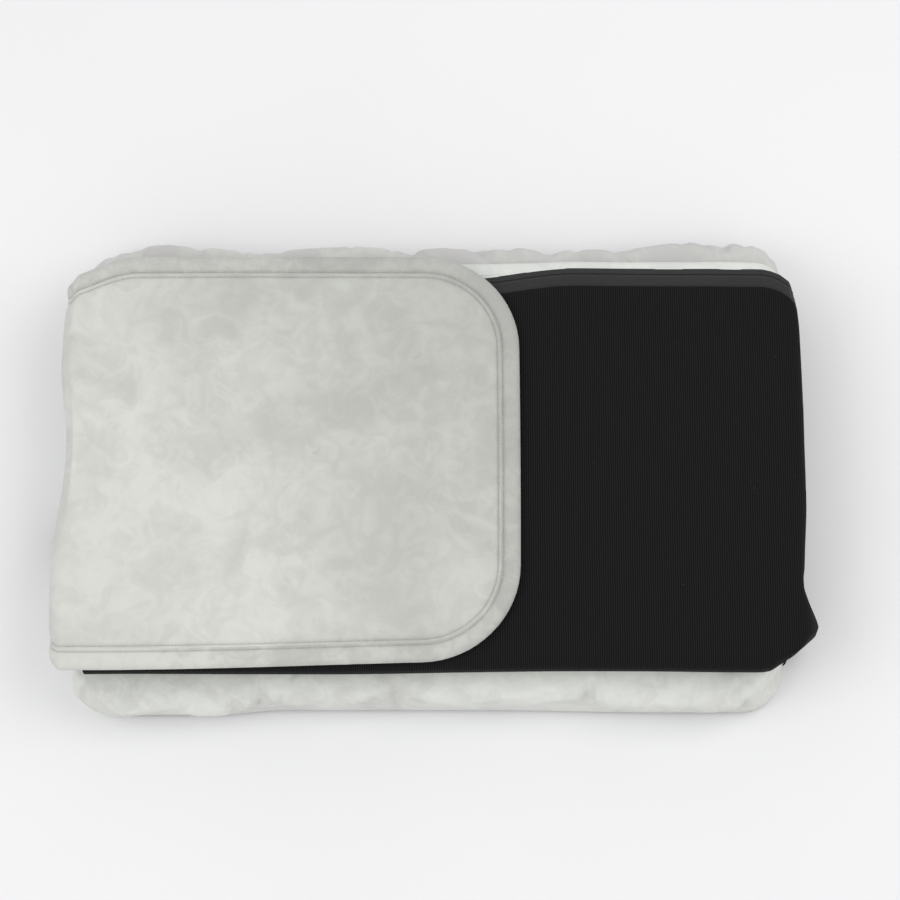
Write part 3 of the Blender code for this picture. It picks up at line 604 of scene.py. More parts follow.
def makeLeftFold():
    reach = panelLeft - leftX
    spots = bendPath(0, topZ, 0, upperBox[0].z + 0.0004, reach, 28, 2.3)
    spots = [Vector((panelLeft - spot.x, 0, spot.z)) for spot in spots]
    stations = withNormals(spots, -1)
    rows = sectionAcross(flapSection(), flapSet["halfDepth"], flapSet["centreY"])
    section = [(y, depth) for y, depth, d in rows]
    insetOf = {y: d for y, depth, d in rows}

    def shift(spot, y, length, depth):
        fade = smooth(0.0, 0.02, length)
        flat = flapWaves(panelLeft, y, insetOf[y], depth)
        held = smooth(-0.004, 0.020, length) * smooth(stations[-1][2], stations[-1][2] - 0.020, length)
        creases = 0.0009 * wave(length * 3, y, 0, 0.03, 5.0)
        lift = flat * (1 - fade) + fade * (flat * 0.6 + creases)
        return lift, drawnIn(length, y), waistIn(y) * held

    points, faces, cloth = sweep(stations, section, shift)
    count = len(section)
    middle = len(stations) // 2
    columns = [k for k, row in enumerate(rows)
               if abs(abs(row[2] - flapSet["seamInset"]) - flapSet["seamHalf"] + 0.0004) < 1e-6 and row[1] < 0.0062]
    seams = []
    for first, last in ((0, middle), (middle, len(stations) - 1)):
        seams.append([[Vector(points[i * count + k]) + stations[i][1] * stitchSet["lift"]
                       for i in range(first, last + 1)] for k in columns])
    thick = flapSet["thickness"]
    pieces = []
    for label, first, last in (("Top", 0, middle), ("Bottom", middle, len(stations) - 1)):
        parts = {"Velour": [], "Binding": [], "Lining": []}
        for i in range(first, last):
            for k in range(count - 1):
                insets = (rows[k][2], rows[k + 1][2])
                if min(rows[k][1], rows[k + 1][1]) >= thick:
                    kind = "Lining"
                elif max(insets) <= flapSet["seamInset"] + 1e-9 or max(rows[k][1], rows[k + 1][1]) > 0.0065:
                    kind = "Binding"
                else:
                    kind = "Velour"
                parts[kind].append(faces[i * (count - 1) + k])
            a, b = i * count, (i + 1) * count
            parts["Lining"].append((a + count - 1, a, b, b + count - 1))
        finish = {"Velour": velour, "Binding": velourBinding, "Lining": knit}
        for kind, part in parts.items():
            pieces.append(meshPiece("leftFold" + kind + label, points, part, finish[kind], cloth))
    return pieces, seams


flapTop, flapBand, flapLining = makeFlap()
leftFoldPieces, foldSeams = makeLeftFold()
foldTop, foldTopBand, foldTopLining, foldBottom, foldBottomBand, foldBottomLining = leftFoldPieces
print("flap and left fold made")


# black rib knit: top, right fold
knitSet = {
    "front": knitBox[0].y + 0.0030,
    "leftSpread": 0.0030,
    "back": knitBox[1].y,
    "top": knitBox[1].z,
    "shoulderWidth": 0.0235,
    "shoulderDrop": 0.012,
    "frontDrop": 0.011,
    "step": 0.009,
    "zipForward": 0.0035,
    "cornerPull": 0.026,
    "leftPull": 0.010,
    "frontWall": 0.0105,
    "cornerRound": 0.013,
}


foldSet = {
    "creaseZ": (lowerBox[1].z + upperBox[0].z) / 2,
    "lowPull": 0.022,
    "power": 2.9,
    # depth, place along Y and width
    "bulge": (0.0090, -0.172, 0.030),
    "crease": (-0.0125, -0.122, 0.0085),
    "tuck": (-0.0015, -0.186, 0.004),
    "sag": (-0.0100, -0.003),
    "ripple": 0.0007,
    "endPuff": 0.0030,
    "endSteps": 7,
    "heart": 0.020,
}


def knitSection():
    # (y, depth) from the tuck under the front seam, over the top, to the tuck under the zip
    front, back = knitSet["front"], knitSet["back"]
    drop = knitSet["frontDrop"]
    low = drop + knitSet["frontWall"]
    rows = [(front + 0.014, low + 0.0035), (front + 0.003, low + 0.0026), (front + 0.0004, low + 0.0012)]
    rows += [(front, low - 0.0010), (front, (low + drop) / 2)]
    for i in range(9):
        angle = math.pi / 2 * i / 8
        rows.append((front + 0.016 * (1 - math.cos(angle)), drop * (1 - math.sin(angle))))
    width, drop = knitSet["shoulderWidth"], knitSet["shoulderDrop"]
    start, inner = front + 0.016, back - width - 0.004
    rows += [(start + (inner - start) * i / 40, 0.0) for i in range(1, 41)]
    rows += [(back - width - 0.001, 0.0004), (back - width + 0.002, 0.0014)]
    rows += [(back - width + 0.002 + (width - 0.002) * i / 6, 0.0014 + (drop - 0.0014) * i / 6) for i in range(1, 7)]
    rows += [(back - 0.001, drop + 0.0022), (back - 0.014, drop + 0.0030)]
    return rows


def knitStations():
    count = int((panelRight - panelLeft) / knitSet["step"])
    left = panelLeft + flapSet["waist"]
    spots = [Vector((left + (panelRight - left) * i / count, 0, knitSet["top"])) for i in range(count + 1)]
    reach = rightX - panelRight
    spots += bendPath(panelRight, knitSet["top"], panelRight, 0.0008, reach, 52, foldSet["power"])[1:]
    return withNormals(spots, 1), count


knitPath, foldStart = knitStations()
topLength = knitPath[foldStart][2]
foldLength = knitPath[-1][2] - topLength
foldMiddle = (foldStart + len(knitPath) - 1) // 2


def forwardNearFlap(x):
    # the zip edge wanders forward where it goes under the flap
    return knitSet["leftPull"] * smooth(0.140, 0.035, x) * smooth(-0.22, -0.05, x)


def backPull(x, length):
    # how far the zip edge is drawn forward, under the flap and round the right end
    along = length - topLength
    pull = knitSet["zipForward"] + forwardNearFlap(x)
    pull += 0.0012 * wave(x, 0, 0, 0.09, 6.0) + 0.0035 * bump(along, 0.004, 0.007)
    pull += knitSet["cornerPull"] * smooth(-0.030, 0.040, along) * (1 - 0.35 * smooth(0.075, foldLength, along))
    return pull


def knitPoint(station, y, depth):
    spot, normal, length = station
    x = spot.x
    along = length - topLength
    hang = max(0.0, depth - knitSet["frontDrop"]) if y < 0 else 0.0
    depth -= hang * 0.75 * smooth(-0.020, 0.005, along)
    lift = 0.0009 * wave(x, y, spot.z, 0.12, 11.0) + 0.0004 * wave(x, y, spot.z, 0.05, 4.0) - 0.0009
    away = smooth(0.0, 0.03, along) * smooth(foldLength, foldLength - 0.03, along)
    corner = 1.2 * smooth(-0.174, -0.212, y) + 0.45 * smooth(0.150, knitSet["back"], y) ** 1.4
    corner += 0.38 * smooth(-0.03, -0.118, y) * smooth(-0.143, -0.121, y)
    size, at, width = foldSet["bulge"]
    bulge = size * bump(y, at, width) * (0.6 + 0.4 * bump(along, 0.045, 0.035))
    size, at, width = foldSet["crease"]
    crease = size * bump(y + 0.35 * (along - 0.03), at, width) * smooth(0.0, 0.02, along)
    crease *= 1 - smooth(0.055, 0.090, along)
    size, at, width = foldSet["tuck"]
    tuck = size * bump(y - 0.2 * along, at, width) * smooth(0.02, 0.05, along)
    sag = foldSet["sag"][0] + foldSet["sag"][1] * smooth(0.09, 0.18, y)
    folds = foldSet["ripple"] * wave(x, y, spot.z, 0.028, 9.0) * smooth(0.02, 0.05, along)
    lift += away * (bulge + crease + tuck + sag + folds)
    lift += 0.0012 * bump(x, 0.335, 0.018) * bump(y, -0.105, 0.035)
    pull = backPull(x, length) * smooth(0.02, knitSet["back"] - 0.012, y)
    pull -= foldSet["lowPull"] * smooth(-0.130, knitSet["front"], y) * smooth(-0.040, 0.045, along)
    bow = 0.0016 * wave(x, 0, 0, 0.16, 2.2) - knitSet["leftSpread"] * smooth(0.03, -0.20, x)
    bow *= smooth(-0.12, knitSet["front"], y)
    place = spot - normal * (depth - lift) + Vector((0, y - pull + bow, 0))
    if place.x > panelRight:
        place.x = panelRight + (place.x - panelRight) * (1 - corner)
    cut = knitSet["cornerRound"] * smooth(-0.190, knitSet["front"], y) ** 1.5 * smooth(-0.035, 0.0, along)
    place.x -= cut * (1 - 0.55 * smooth(0.020, 0.060, along))
    return place


def knitGrid(first, last):
    section = knitSection()
    count = len(section)
    points, cloth, faces = [], [], []
    for station in knitPath[first:last + 1]:
        for y, depth in section:
            points.append(knitPoint(station, y, depth))
            cloth.append((station[2], y))
    for i in range(last - first):
        for k in range(count - 1):
            a = i * count + k
            faces.append((a, a + 1, a + count + 1, a + count))
    return points, faces, cloth, count


def makeKnitTop():
    points, faces, cloth, count = knitGrid(0, foldStart)
    return meshPiece("knitTop", points, faces, knit, cloth, fixNormals=False)


def makeKnitFold(name, first, last):
    # the fold's skin, with both ends closed by a gathered piece
    points, faces, cloth, count = knitGrid(first, last)
    rows = last - first + 1
    steps, puffed = foldSet["endSteps"], foldSet["endPuff"]
    shares = [i / steps for i in range(steps + 1)]
    ends = []
    for column, edge, puff in ((0, 3, -puffed), (count - 1, count - 3, puffed)):
        endPoints, endCloth, endFaces = [], [], []
        for i in range(rows):
            place = points[i * count + edge]
            u, v = cloth[i * count + edge]
            heart = Vector((panelRight - foldSet["heart"], place.y + (0.004 if column else 0.0), foldSet["creaseZ"]))
            heart.z += (place.z - foldSet["creaseZ"]) * 0.25
            for share in shares:
                spot = place.lerp(heart, share)
                spot.y += puff * math.sin(math.pi * share ** 0.75) ** 0.8
                spot.y -= puff * 1.1 * bump(spot.z, foldSet["creaseZ"], 0.004) * share
                endPoints.append(spot)
                endCloth.append((u, v + 0.02 * share))
        for i in range(rows - 1):
            for k in range(len(shares) - 1):
                a = i * len(shares) + k
                face = (a, a + 1, a + len(shares) + 1, a + len(shares))
                endFaces.append(tuple(reversed(face)) if column == 0 else face)
        ends.append((endPoints, endFaces, endCloth))
    base = len(points)
    points += ends[0][0]
    cloth += ends[0][2]
    faces += [tuple(base + i for i in face) for face in ends[0][1]]
    skin = meshPiece("rightFoldKnit" + name, points, faces, knit, cloth, fixNormals=False, merge=0.00002)
    gusset = meshPiece("rightFoldEnd" + name, ends[1][0], ends[1][1], knit, ends[1][2], fixNormals=False)
    return skin, gusset


knitTop = makeKnitTop()
foldKnitUpper, foldGussetUpper = makeKnitFold("Upper", foldStart, foldMiddle)
foldKnitLower, foldGussetLower = makeKnitFold("Lower", foldMiddle, len(knitPath) - 1)
print("knit made")


# rows of pegs: stitches and zip coil
def makeRowTree():
    tree = bpy.data.node_groups.new("rowOfPegs", "GeometryNodeTree")
    face = tree.interface
    face.new_socket("Geometry", in_out="INPUT", socket_type="NodeSocketGeometry")
    for label, value in (("Pitch", 0.003), ("Length", 0.002), ("Radius", 0.0003)):
        face.new_socket(label, in_out="INPUT", socket_type="NodeSocketFloat").default_value = value
    face.new_socket("Sides", in_out="INPUT", socket_type="NodeSocketInt").default_value = 6
    face.new_socket("Flatten", in_out="INPUT", socket_type="NodeSocketFloat").default_value = 1.0
    face.new_socket("Material", in_out="INPUT", socket_type="NodeSocketMaterial")
    face.new_socket("Geometry", in_out="OUTPUT", socket_type="NodeSocketGeometry")
    given = tree.nodes.new("NodeGroupInput")
    out = tree.nodes.new("NodeGroupOutput")
    toCurve = tree.nodes.new("GeometryNodeMeshToCurve")
    resample = addNode(tree, "GeometryNodeResampleCurve", mode="LENGTH")
    peg = tree.nodes.new("GeometryNodeMeshCylinder")
    tangent = tree.nodes.new("GeometryNodeInputTangent")
    turn = addNode(tree, "FunctionNodeAlignRotationToVector", axis="Z")
    place = tree.nodes.new("GeometryNodeInstanceOnPoints")
    size = tree.nodes.new("ShaderNodeCombineXYZ")
    size.inputs["X"].default_value = 1.0
    size.inputs["Z"].default_value = 1.0
    realize = tree.nodes.new("GeometryNodeRealizeInstances")
    finish = tree.nodes.new("GeometryNodeSetMaterial")
    link = tree.links.new
    link(given.outputs["Geometry"], toCurve.inputs[0])
    link(toCurve.outputs[0], resample.inputs["Curve"])
    link(given.outputs["Pitch"], resample.inputs["Length"])
    link(resample.outputs[0], place.inputs["Points"])
    link(given.outputs["Sides"], peg.inputs["Vertices"])
    link(given.outputs["Radius"], peg.inputs["Radius"])
    link(given.outputs["Length"], peg.inputs["Depth"])
    link(peg.outputs["Mesh"], place.inputs["Instance"])
    link(tangent.outputs[0], turn.inputs["Vector"])
    link(turn.outputs[0], place.inputs["Rotation"])
    link(given.outputs["Flatten"], size.inputs["Y"])
    link(size.outputs[0], place.inputs["Scale"])
    link(place.outputs[0], realize.inputs[0])
    link(realize.outputs[0], finish.inputs["Geometry"])
    link(given.outputs["Material"], finish.inputs["Material"])
    link(finish.outputs[0], out.inputs[0])
    return tree


rowTree = makeRowTree()


def makeRow(name, paths, material, pitch, length, radius, sides=6):
    # one mesh of pegs that follow the given paths
    mesh = bpy.data.meshes.new(name)
    points, edges = [], []
    for path in paths:
        first = len(points)
        points += [tuple(p) for p in path]
        edges += [(first + i, first + i + 1) for i in range(len(path) - 1)]
    mesh.from_pydata(points, edges, [])
    piece = newObject(name, mesh)
    modifier = piece.modifiers.new("row", "NODES")
    modifier.node_group = rowTree
    values = {"Pitch": pitch, "Length": length, "Radius": radius, "Sides": sides, "Material": material}
    for item in rowTree.interface.items_tree:
        if item.in_out == "INPUT" and item.name in values:
            modifier[item.identifier] = values[item.name]
    applyModifiers(piece)
    for polygon in piece.data.polygons:
        polygon.use_smooth = len(polygon.vertices) == 4
    return piece


# zip
zipSet = {
    "slit": 0.0008,
    "slitShare": 0.36,
    "swell": 0.0007,
    "teethPitch": 0.0016,
    "teethLength": 0.0009,
    "teethRadius": 0.0011,
    "cornerRadius": 0.047,
}


def zipFrame(edge, across, outwards, share):
    # velour edge, the way across to the knit edge, the way out of the cloth, and where the band opens
    out = outwards - across.normalized() * outwards.dot(across.normalized())
    return edge, across, out.normalized(), share


def makeTape(name, frames, velourSide):
    steps = 8
    points, cloth, faces = [], [], []
    length = 0.0
    for i, (edge, across, out, share) in enumerate(frames):
        if i:
            length += (edge + across / 2 - frames[i - 1][0] - frames[i - 1][1] / 2).length
        half = zipSet["slit"] / 2 / across.length
        outer, inner = (0.0, share - half) if velourSide else (1.0, share + half)
        for k in range(steps + 1):
            t = k / steps
            height = zipSet["swell"] * (0.5 + 0.5 * t) * smooth(0.0, 0.14, t) * (1 - 0.6 * smooth(0.9, 1.0, t))
            height = 0.0003 + height
            points.append(edge + across * (outer + (inner - outer) * t) + out * height)
            cloth.append((length, across.length * (outer + (inner - outer) * t)))
        points.append(edge + across * inner - out * 0.0009)
        cloth.append((length, across.length * inner + 0.001))
    count = steps + 2
    for i in range(len(frames) - 1):
        for k in range(count - 1):
            a = i * count + k
            faces.append((a, a + 1, a + count + 1, a + count))
    piece = meshPiece(name, points, faces, zipTape, cloth, fixNormals=False)
    middle = (len(frames) // 2) * (count - 1) + steps // 2
    if piece.data.polygons[middle].normal.dot(frames[len(frames) // 2][2]) < 0:
        piece.data.flip_normals()
    return piece


def makeZip(label, frames):
    centre = [edge + across * share - out * 0.0005 for edge, across, out, share in frames]
    teeth = makeRow("zipTeeth" + label, [centre], zipTeeth, zipSet["teethPitch"], zipSet["teethLength"],
                    zipSet["teethRadius"], 8)
    return [makeTape("zipTapeVelour" + label, frames, True), makeTape("zipTapeKnit" + label, frames, False), teeth]


def shoulderFrame(station):
    back, width, drop = knitSet["back"], knitSet["shoulderWidth"], knitSet["shoulderDrop"]
    velourEdge = knitPoint(station, back - 0.0006, drop)
    knitEdge = knitPoint(station, back - width + 0.001, 0.0012)
    return zipFrame(velourEdge, knitEdge - velourEdge, station[1] + Vector((0, 0.6, 0)), zipSet["slitShare"])


def lowerFrames(start):
    # from the fold's low corner round to the flat back wall, then straight along it
    velourBox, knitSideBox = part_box("lower_zip_tape_velour_side"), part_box("lower_zip_tape_knit_side")
    wallY, startX, endX = velourBox[0].y, velourBox[1].x, velourBox[0].x
    high, low = velourBox[1].z, knitSideBox[0].z
    down = Vector((0, 0, low - high))
    radius = zipSet["cornerRadius"]
    edgeStart, acrossStart, outStart, shareStart = start
    centre = Vector((startX - 0.004, wallY - radius, high))
    frames = []
    steps = 24
    for i in range(1, steps):
        t = i / steps
        turn = math.radians(86 * t)
        arc = centre + Vector((math.cos(turn), math.sin(turn), 0)) * radius
        join = smooth(0.0, 0.45, t)
        out = outStart.lerp(Vector((math.cos(turn), math.sin(turn), 0)), join)
        across = acrossStart.lerp(down, join).normalized() * (high - low)
        frames.append(zipFrame(edgeStart.lerp(arc, join), across, out, shareStart + (0.5 - shareStart) * t))
    count = 60
    for i in range(count + 1):
        edge = Vector((startX + (endX - startX) * i / count, wallY, high))
        frames.append(zipFrame(edge, down, Vector((0, 1, 0)), 0.5))
    return frames


zipStart = next(i for i, station in enumerate(knitPath) if station[0].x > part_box("upper_zip_coil")[0].x)
zipFoldEnd = next(i for i, station in enumerate(knitPath) if i > foldMiddle and station[0].z < 0.030)
zipUpper = makeZip("Upper", [shoulderFrame(station) for station in knitPath[zipStart:foldStart + 1]])
zipFoldUpper = makeZip("FoldUpper", [shoulderFrame(station) for station in knitPath[foldStart:foldMiddle + 1]])
zipFoldLower = makeZip("FoldLower", [shoulderFrame(station) for station in knitPath[foldMiddle:zipFoldEnd + 1]])
zipLowerFrames = lowerFrames(shoulderFrame(knitPath[zipFoldEnd]))
zipLower = makeZip("Lower", [shoulderFrame(knitPath[zipFoldEnd])] + zipLowerFrames)
print("zip made")


# stitches along the flap's double seam
def seamPath(side):
    inset = flapSet["seamInset"] + side * flapSet["seamHalf"]
    depth = stitchSet["depth"]
    return [(bowed(x, y), drawnIn(panelLeft - x, y), topZ - depth + stitchSet["lift"] + flapWaves(x, y, inset, depth))
            for x, y in flapRing(inset)]


def makeStitches(name, paths):
    return makeRow(name, paths, stitchThread, stitchSet["pitch"], stitchSet["length"], stitchSet["radius"])


flapStitches = makeStitches("flapStitches", [seamPath(-1), seamPath(1)])
foldTopStitches = makeStitches("leftFoldStitchesTop", foldSeams[0])
foldBottomStitches = makeStitches("leftFoldStitchesBottom", foldSeams[1])
print("stitches made")


# velour base of the lower panel
def ringOutline(box, radius, inset, sideSteps, arcSteps):
    x0, x1 = box[0].x + inset, box[1].x - inset
    y0, y1 = box[0].y + inset, box[1].y - inset
    reach = max(radius - inset, 0.004)
    points = []
    corners = ((x1 - reach, y0 + reach, -90), (x1 - reach, y1 - reach, 0), (x0 + reach, y1 - reach, 90),
               (x0 + reach, y0 + reach, 180))
    starts = ((x0 + reach, y0), (x1, y0 + reach), (x1 - reach, y1), (x0, y1 - reach))
    for (cx, cy, start), (sx, sy), steps in zip(corners, starts, (sideSteps[0], sideSteps[1]) * 2):
        first = (cx + reach * math.cos(math.radians(start)), cy + reach * math.sin(math.radians(start)))
        for i in range(steps):
            t = i / steps
            points.append((sx + (first[0] - sx) * t, sy + (first[1] - sy) * t))
        for i in range(arcSteps):
            angle = math.radians(start + 90 * i / arcSteps)
            points.append((cx + reach * math.cos(angle), cy + reach * math.sin(angle)))
    return points


def ringFaces(rows, count):
    # walls between rings of count points
    faces = []
    for k in range(rows - 1):
        for i in range(count):
            j = (i + 1) % count
            a, b = k * count + i, k * count + j
            faces.append((a, b, b + count, a + count))
    return faces


baseSet = {
    "radius": 0.050,
    "wallInset": 0.0100,
    "footHeight": 0.016,
    "footDraw": 0.46,
    "floorZ": 0.0021,
    # height and distance in from the box, from the foot over the roll to the middle of the top
    "levels": ((0.0022, 0.0130), (0.0034, 0.0114), (0.0060, 0.0106), (0.0100, 0.0104), (0.014, 0.0104),
               (0.022, 0.0104), (0.0285, 0.0100), (0.0335, 0.0070), (0.038, 0.0035), (0.0425, 0.0022),
               (0.0465, 0.0030), (0.0500, 0.0056), (0.0528, 0.0098), (0.0548, 0.0160), (0.0558, 0.0250),
               (0.0562, 0.038), (0.0562, 0.060), (0.0562, 0.110), (0.0562, 0.180), (0.0562, 0.238)),
    "voxel": 0.0062,
    "pressure": 4.0,
    "shrink": -0.06,
    "cap": 0.009,
    "backSwell": (0.0045, 0.0095, 0.0100),
    "notches": ((-0.173, 0.010, 0.0085), (-0.044, 0.005, 0.007), (0.146, 0.008, 0.006)),
    # place, depth, width and lean of the soft gathers
    "gathers": ((-0.236, 0.0010, 0.006, 0.4), (-0.201, 0.0016, 0.004, -0.2), (-0.150, 0.0010, 0.005, 0.5),
                (-0.098, 0.0012, 0.004, -0.6), (-0.041, 0.0022, 0.004, 0.2), (-0.012, 0.0010, 0.006, 0.9),
                (0.052, 0.0012, 0.005, 0.7), (0.104, 0.0010, 0.007, -0.5), (0.149, 0.0018, 0.004, 0.3),
                (0.195, 0.0010, 0.005, 0.8), (0.243, 0.0012, 0.006, -0.4), (0.287, 0.0010, 0.004, 0.5)),
    # ends and width of the pressed tucks
    "creases": ((-0.348, -0.214, -0.344, -0.226, 0.0028), (-0.328, -0.2225, -0.311, -0.2325, 0.0026),
                (0.336, -0.199, 0.343, -0.216, 0.0028), (0.322, -0.214, 0.341, -0.204, 0.0024)),
}


def swellVelour(piece, pinned, settings, ceiling, limit):
    # voxel skin, swollen under pressure with its hidden parts held, then smoothed once
    remesh = piece.modifiers.new("voxels", "REMESH")
    remesh.mode = "VOXEL"
    remesh.voxel_size = settings["voxel"]
    applyModifiers(piece)
    rest = [v.co.copy() for v in piece.data.vertices]
    group = piece.vertex_groups.new(name="held")
    for i, place in enumerate(rest):
        if pinned(place):
            group.add([i], 1.0, "REPLACE")
    cloth = piece.modifiers.new("swelling", "CLOTH")
    cloth.settings.quality = 5
    cloth.settings.mass = 0.2
    cloth.settings.use_pressure = True
    cloth.settings.uniform_pressure_force = settings["pressure"]
    cloth.settings.shrink_min = settings["shrink"]
    cloth.settings.bending_stiffness = 0.3
    cloth.settings.effector_weights.gravity = 0
    cloth.settings.vertex_group_mass = "held"
    cloth.collision_settings.use_collision = False
    cloth.point_cache.frame_start = 1
    cloth.point_cache.frame_end = 20
    for moment in range(1, 21):
        scene.frame_set(moment)
    view = bpy.context.evaluated_depsgraph_get()
    swollen = piece.evaluated_get(view).to_mesh()
    moved = [v.co.copy() for v in swollen.vertices]
    piece.evaluated_get(view).to_mesh_clear()
    piece.modifiers.clear()
    piece.vertex_groups.clear()
    scene.frame_set(1)
    for vertex, place, new in zip(piece.data.vertices, rest, moved):
        step = new - place
        if step.length > settings["cap"]:
            step = step.normalized() * settings["cap"]
        vertex.co = place + step
    for vertex in piece.data.vertices:
        vertex.co.z = min(vertex.co.z, ceiling)
        limit(vertex.co)
    finer = piece.modifiers.new("finer", "SUBSURF")
    finer.levels = finer.render_levels = 1
    applyModifiers(piece)
    for vertex in piece.data.vertices:
        limit(vertex.co)
    piece.data.shade_smooth()
    return piece


def frontDraw(x):
    # how far the front edge is drawn back along the middle of the panel
    return 0.0105 * smooth(-0.22, -0.15, x) * (1 - 0.45 * smooth(0.05, 0.22, x))


def baseShape(x, y, z):
    # outline that wanders a little, with the tucks along the front edge and at the front corners
    box = lowerBox
    upper = smooth(0.020, 0.036, z)
    rim = smooth(0.150, 0.225, abs(y)) * upper
    move = Vector((0, 0, 0))
    move.y += math.copysign(0.0016, y) * wave(x, 0, 0, 0.07, 3.0) * rim
    move.y += frontDraw(x) * smooth(-0.150, -0.215, y) * (0.55 + 0.45 * upper)
    middle, right, left = baseSet["backSwell"]
    swell = (middle + left * smooth(-0.18, -0.28, x)) * smooth(-0.345, -0.285, x) + right * smooth(0.08, 0.29, x)
    move.y += swell * smooth(0.150, 0.215, y) * upper
    cut = 0.35 * max(0.0, 0.062 - (box[1].x - x) - (y - box[0].y)) * upper
    move += Vector((-cut, cut, 0))
    for place, depth, width in baseSet["notches"]:
        slant = place + 0.25 * (z - 0.03)
        move.y += depth * bump(x, slant, width) * smooth(-0.205, -0.238, y) * upper
        move.z -= 0.35 * depth * bump(x, slant, width) * smooth(-0.205, -0.238, y) * smooth(0.044, 0.054, z)
    corner = smooth(0.030, 0.0, box[1].x - x) * smooth(-0.150, -0.215, y) * upper
    move.x -= 0.004 * corner * bump(y, -0.222, 0.010)
    slant = (x - box[0].x) + (y - box[0].y)
    tuck = bump(slant, 0.046, 0.0045) * smooth(-0.320, -0.345, x + 0.3 * (y + 0.22)) * upper
    move += Vector((0.0045, 0.0045, -0.001)) * tuck
    move.x -= 0.008 * smooth(0.310, 0.356, x) * upper * smooth(0.12, -0.05, y)
    ends = smooth(0.30, 0.345, abs(x)) * upper
    move.x += math.copysign(0.0015, x) * wave(0, y, 0, 0.06, 8.0) * ends
    return move


def pressedCrease(x, y, x0, y0, x1, y1, width):
    # share of a short straight crease at (x, y), fading at both ends
    run = Vector((x1 - x0, y1 - y0))
    t = Vector((x - x0, y - y0)).dot(run) / run.length_squared
    away = (Vector((x - x0, y - y0)) - run * clamp(t)).length
    return bump(away, 0.0, width) * (1 - smooth(0.85, 1.15, t)) * smooth(-0.15, 0.15, t)


def baseDetail(place):
    # shallow gathers along the front and back edges, and the pressed tucks at the corners
    x, y, z = place
    edge = smooth(0.205, 0.228, abs(y)) * smooth(0.030, 0.040, z)
    fold = sum(depth * bump(x + lean * (abs(y) - 0.225), at, width) for at, depth, width, lean in baseSet["gathers"])
    lift = -1.6 * fold * edge
    corners = 0.0
    for crease in baseSet["creases"]:
        corners += pressedCrease(x, y, *crease)
    lift -= 0.0030 * corners * smooth(0.030, 0.038, z)
    outward = Vector((0, math.copysign(0.7, y), 0.7))
    return outward * lift


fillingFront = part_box("lower_insulation_felt")[0].y


def keepWall(place):
    # the low wall stays flat, clear of the zip and the inlet
    box, inset = lowerBox, baseSet["wallInset"]
    free = smooth(0.029, 0.040, place.z)
    for axis, low, high, over in ((0, box[0].x, box[1].x, 0.002), (1, box[0].y, box[1].y, 0.014)):
        gap = inset * (1 - free) - over * free
        place[axis] = max(low + gap, min(high - gap, place[axis]))
    place.z = max(place.z, baseSet["floorZ"])
    if place.y < -0.205 and place.z < 0.036 and -0.30 < place.x < 0.30:
        # the filling behind stays covered
        place.y = min(place.y, fillingFront - 0.0018)
    if place.z < baseSet["footHeight"]:
        # the foot of the wall stands on its outline, down to the underside
        reach = baseSet["radius"]
        heart = Vector((clamp(place.x, box[0].x + reach, box[1].x - reach),
                        clamp(place.y, box[0].y + reach, box[1].y - reach)))
        away = Vector((place.x, place.y)) - heart
        foot = reach - inset - 0.0006 - baseSet["footDraw"] * frontDraw(place.x) * smooth(-0.10, -0.19, place.y)
        if away.length > foot - 0.008:
            away *= (foot - 0.12 * (foot - away.length)) / away.length
            place.x, place.y = heart + away
            if place.z < 0.0065:
                place.z = baseSet["floorZ"] + 0.1 * (place.z - baseSet["floorZ"])


def makeBase():
    points = []
    for height, inset in baseSet["levels"]:
        ring = ringOutline(lowerBox, baseSet["radius"], inset, (90, 52), 16)
        count = len(ring)
        points += [Vector((x, y, height)) + baseShape(x, y, height) for x, y in ring]
    faces = ringFaces(len(baseSet["levels"]), count)
    faces += [tuple(range(count)), tuple(range(len(points) - count, len(points)))]
    piece = meshPiece("baseVelour", points, faces, velourStrip)
    inner = 0.058

    def pinned(place):
        inside = (lowerBox[0].x + inner < place.x < lowerBox[1].x - inner
                  and lowerBox[0].y + inner < place.y < lowerBox[1].y - inner)
        return place.z < baseSet["footHeight"] or (inside and place.z > 0.050)

    swellVelour(piece, pinned, baseSet, lowerBox[1].z - 0.0002, keepWall)
    for vertex in piece.data.vertices:
        vertex.co += baseDetail(vertex.co)
        keepWall(vertex.co)
    return piece


base = makeBase()
print("base made")


# velour edge of the upper panel
upperSet = {
    "radius": 0.030,
    # height above the panel's foot and distance in from the box, from underneath over the welt to the top
    "levels": ((0.0, 0.040), (0.0003, 0.020), (0.0020, 0.0085), (0.0050, 0.0038), (0.0090, 0.0012), (0.0140, 0.0002),
               (0.0185, 0.0004), (0.0225, 0.0018), (0.0248, 0.0034), (0.0256, 0.0046), (0.0252, 0.0054),
               (0.0254, 0.0062), (0.0266, 0.0078), (0.0272, 0.0110), (0.0272, 0.0160), (0.0268, 0.0300)),
    "height": 0.0272,
    "swell": 0.0050,
    "frontIn": 0.0062,
    "frontTuck": 0.0036,
}


